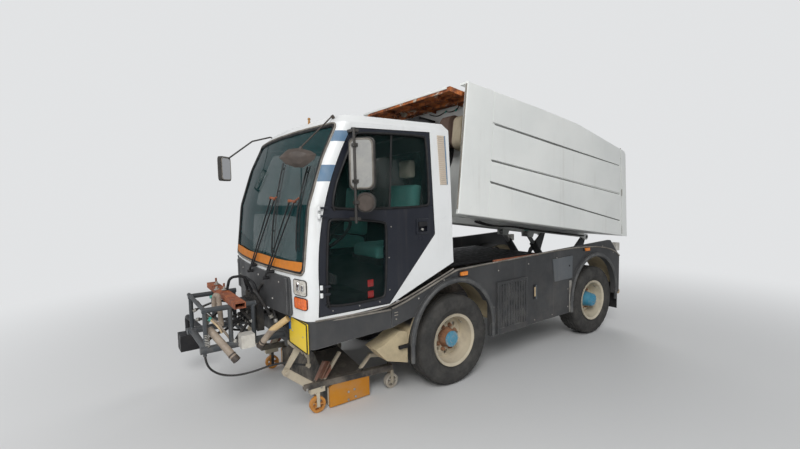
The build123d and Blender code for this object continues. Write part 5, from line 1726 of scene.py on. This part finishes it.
ribs = [door_strip("rib", x, 0.03, 1.29, 2.08, 0.008, 0.003) for x in rib_xs]
ribs.append(door_strip("rail", 0, 0.86, 2.105, 2.15, 0.008, 0.003))
dress(join("door_ribs", ribs), hopper_white, "hopper_door")
dress(door_strip("door_foot", 0, 0.87, 1.15, 1.2, 0.006), dusty_seal, "hopper_door")
keeps = [door_strip("keep", x, 0.022, 1.215, 1.27, 0.01) for x in keep_xs]
dress(join("door_keeps", keeps), frame_grey, "hopper_door")
keep_bolts = bolts("door_bolts", [on_door(x, 1.242, 0.008) for x in keep_xs], (0, 0.007, 0), 0.008, 6)
rib_places = [on_door(x, z, 0.006) for x in rib_xs for z in (1.32, 1.69, 2.05)]
rib_bolts = bolts("rib_bolts", rib_places, (0, 0.006, 0), 0.006, 6)
dress(join("door_bolts", (keep_bolts, rib_bolts)), pale_steel, "hopper_door")
reflectors = [door_strip("reflector", x, 0.035, 1.295, 1.335, 0.004) for x in (-0.78, 0.78)]
dress(join("door_reflectors_rear", reflectors), lens_red, "hopper_door")
print("hopper door", len(ribs) + len(keeps) + len(keep_xs) + len(rib_places))

# %% Lamps, bumper and flaps
guards, bolt_places = [], []
for name, side in both_sides:
    low, high = sorted((side * 0.56, side * 0.842))
    outline = [(x, 2.384, z) for x, z in around((low, 0.582), (high, 0.688), 0.012, 4)]
    guards.append(hose("guard", [*outline, *outline[:2]], 0.006, 8, 2))
    bolt_places += [(side * x, 2.346, 0.635) for x in (0.1, 0.3, 0.48)]
dress(join("lamp_guards", guards), frame_grey)
dress(bolts("bumper_bolts", bolt_places, (0, 0.012, 0), 0.011, 6, 0.0015), zinc)
flaps = [
    block("flap", (side * 0.62, 2.262, 0.235), (side * 0.895, 2.27, 0.56), 0.003) for _, side in both_sides
]
dress(join("mud_flaps", flaps), seal_rubber)

# %% Hopper roof
def on_roof(x, y, stand_off):
    """A point on the hopper's roof, which falls more steeply towards the rear."""
    height = 2.608 - 0.143 * (y - 0.3) if y < 1.2 else 2.42 - 0.252 * (y - 1.5)
    return (x, y, height + stand_off)


seams = [rod("seam", on_roof(-0.8, y, 0.002), on_roof(0.8, y, 0.002), 0.006, 8) for y in (0.3, 0.9, 1.5, 2.1)]
dress(join("roof_seams", seams), hopper_white, "hopper")
ring = [on_roof(x, y, 0.006) for x, y in around((-0.22, 0.4), (0.22, 0.8), 0.05, 6)]
hatch_rim = hose("roof_hatch_rim", [*ring, (0.22, 0.75, 2.5497)], 0.008, 8, 2)
dress(hatch_rim, dusty_seal, "hopper")
print("rear finished")
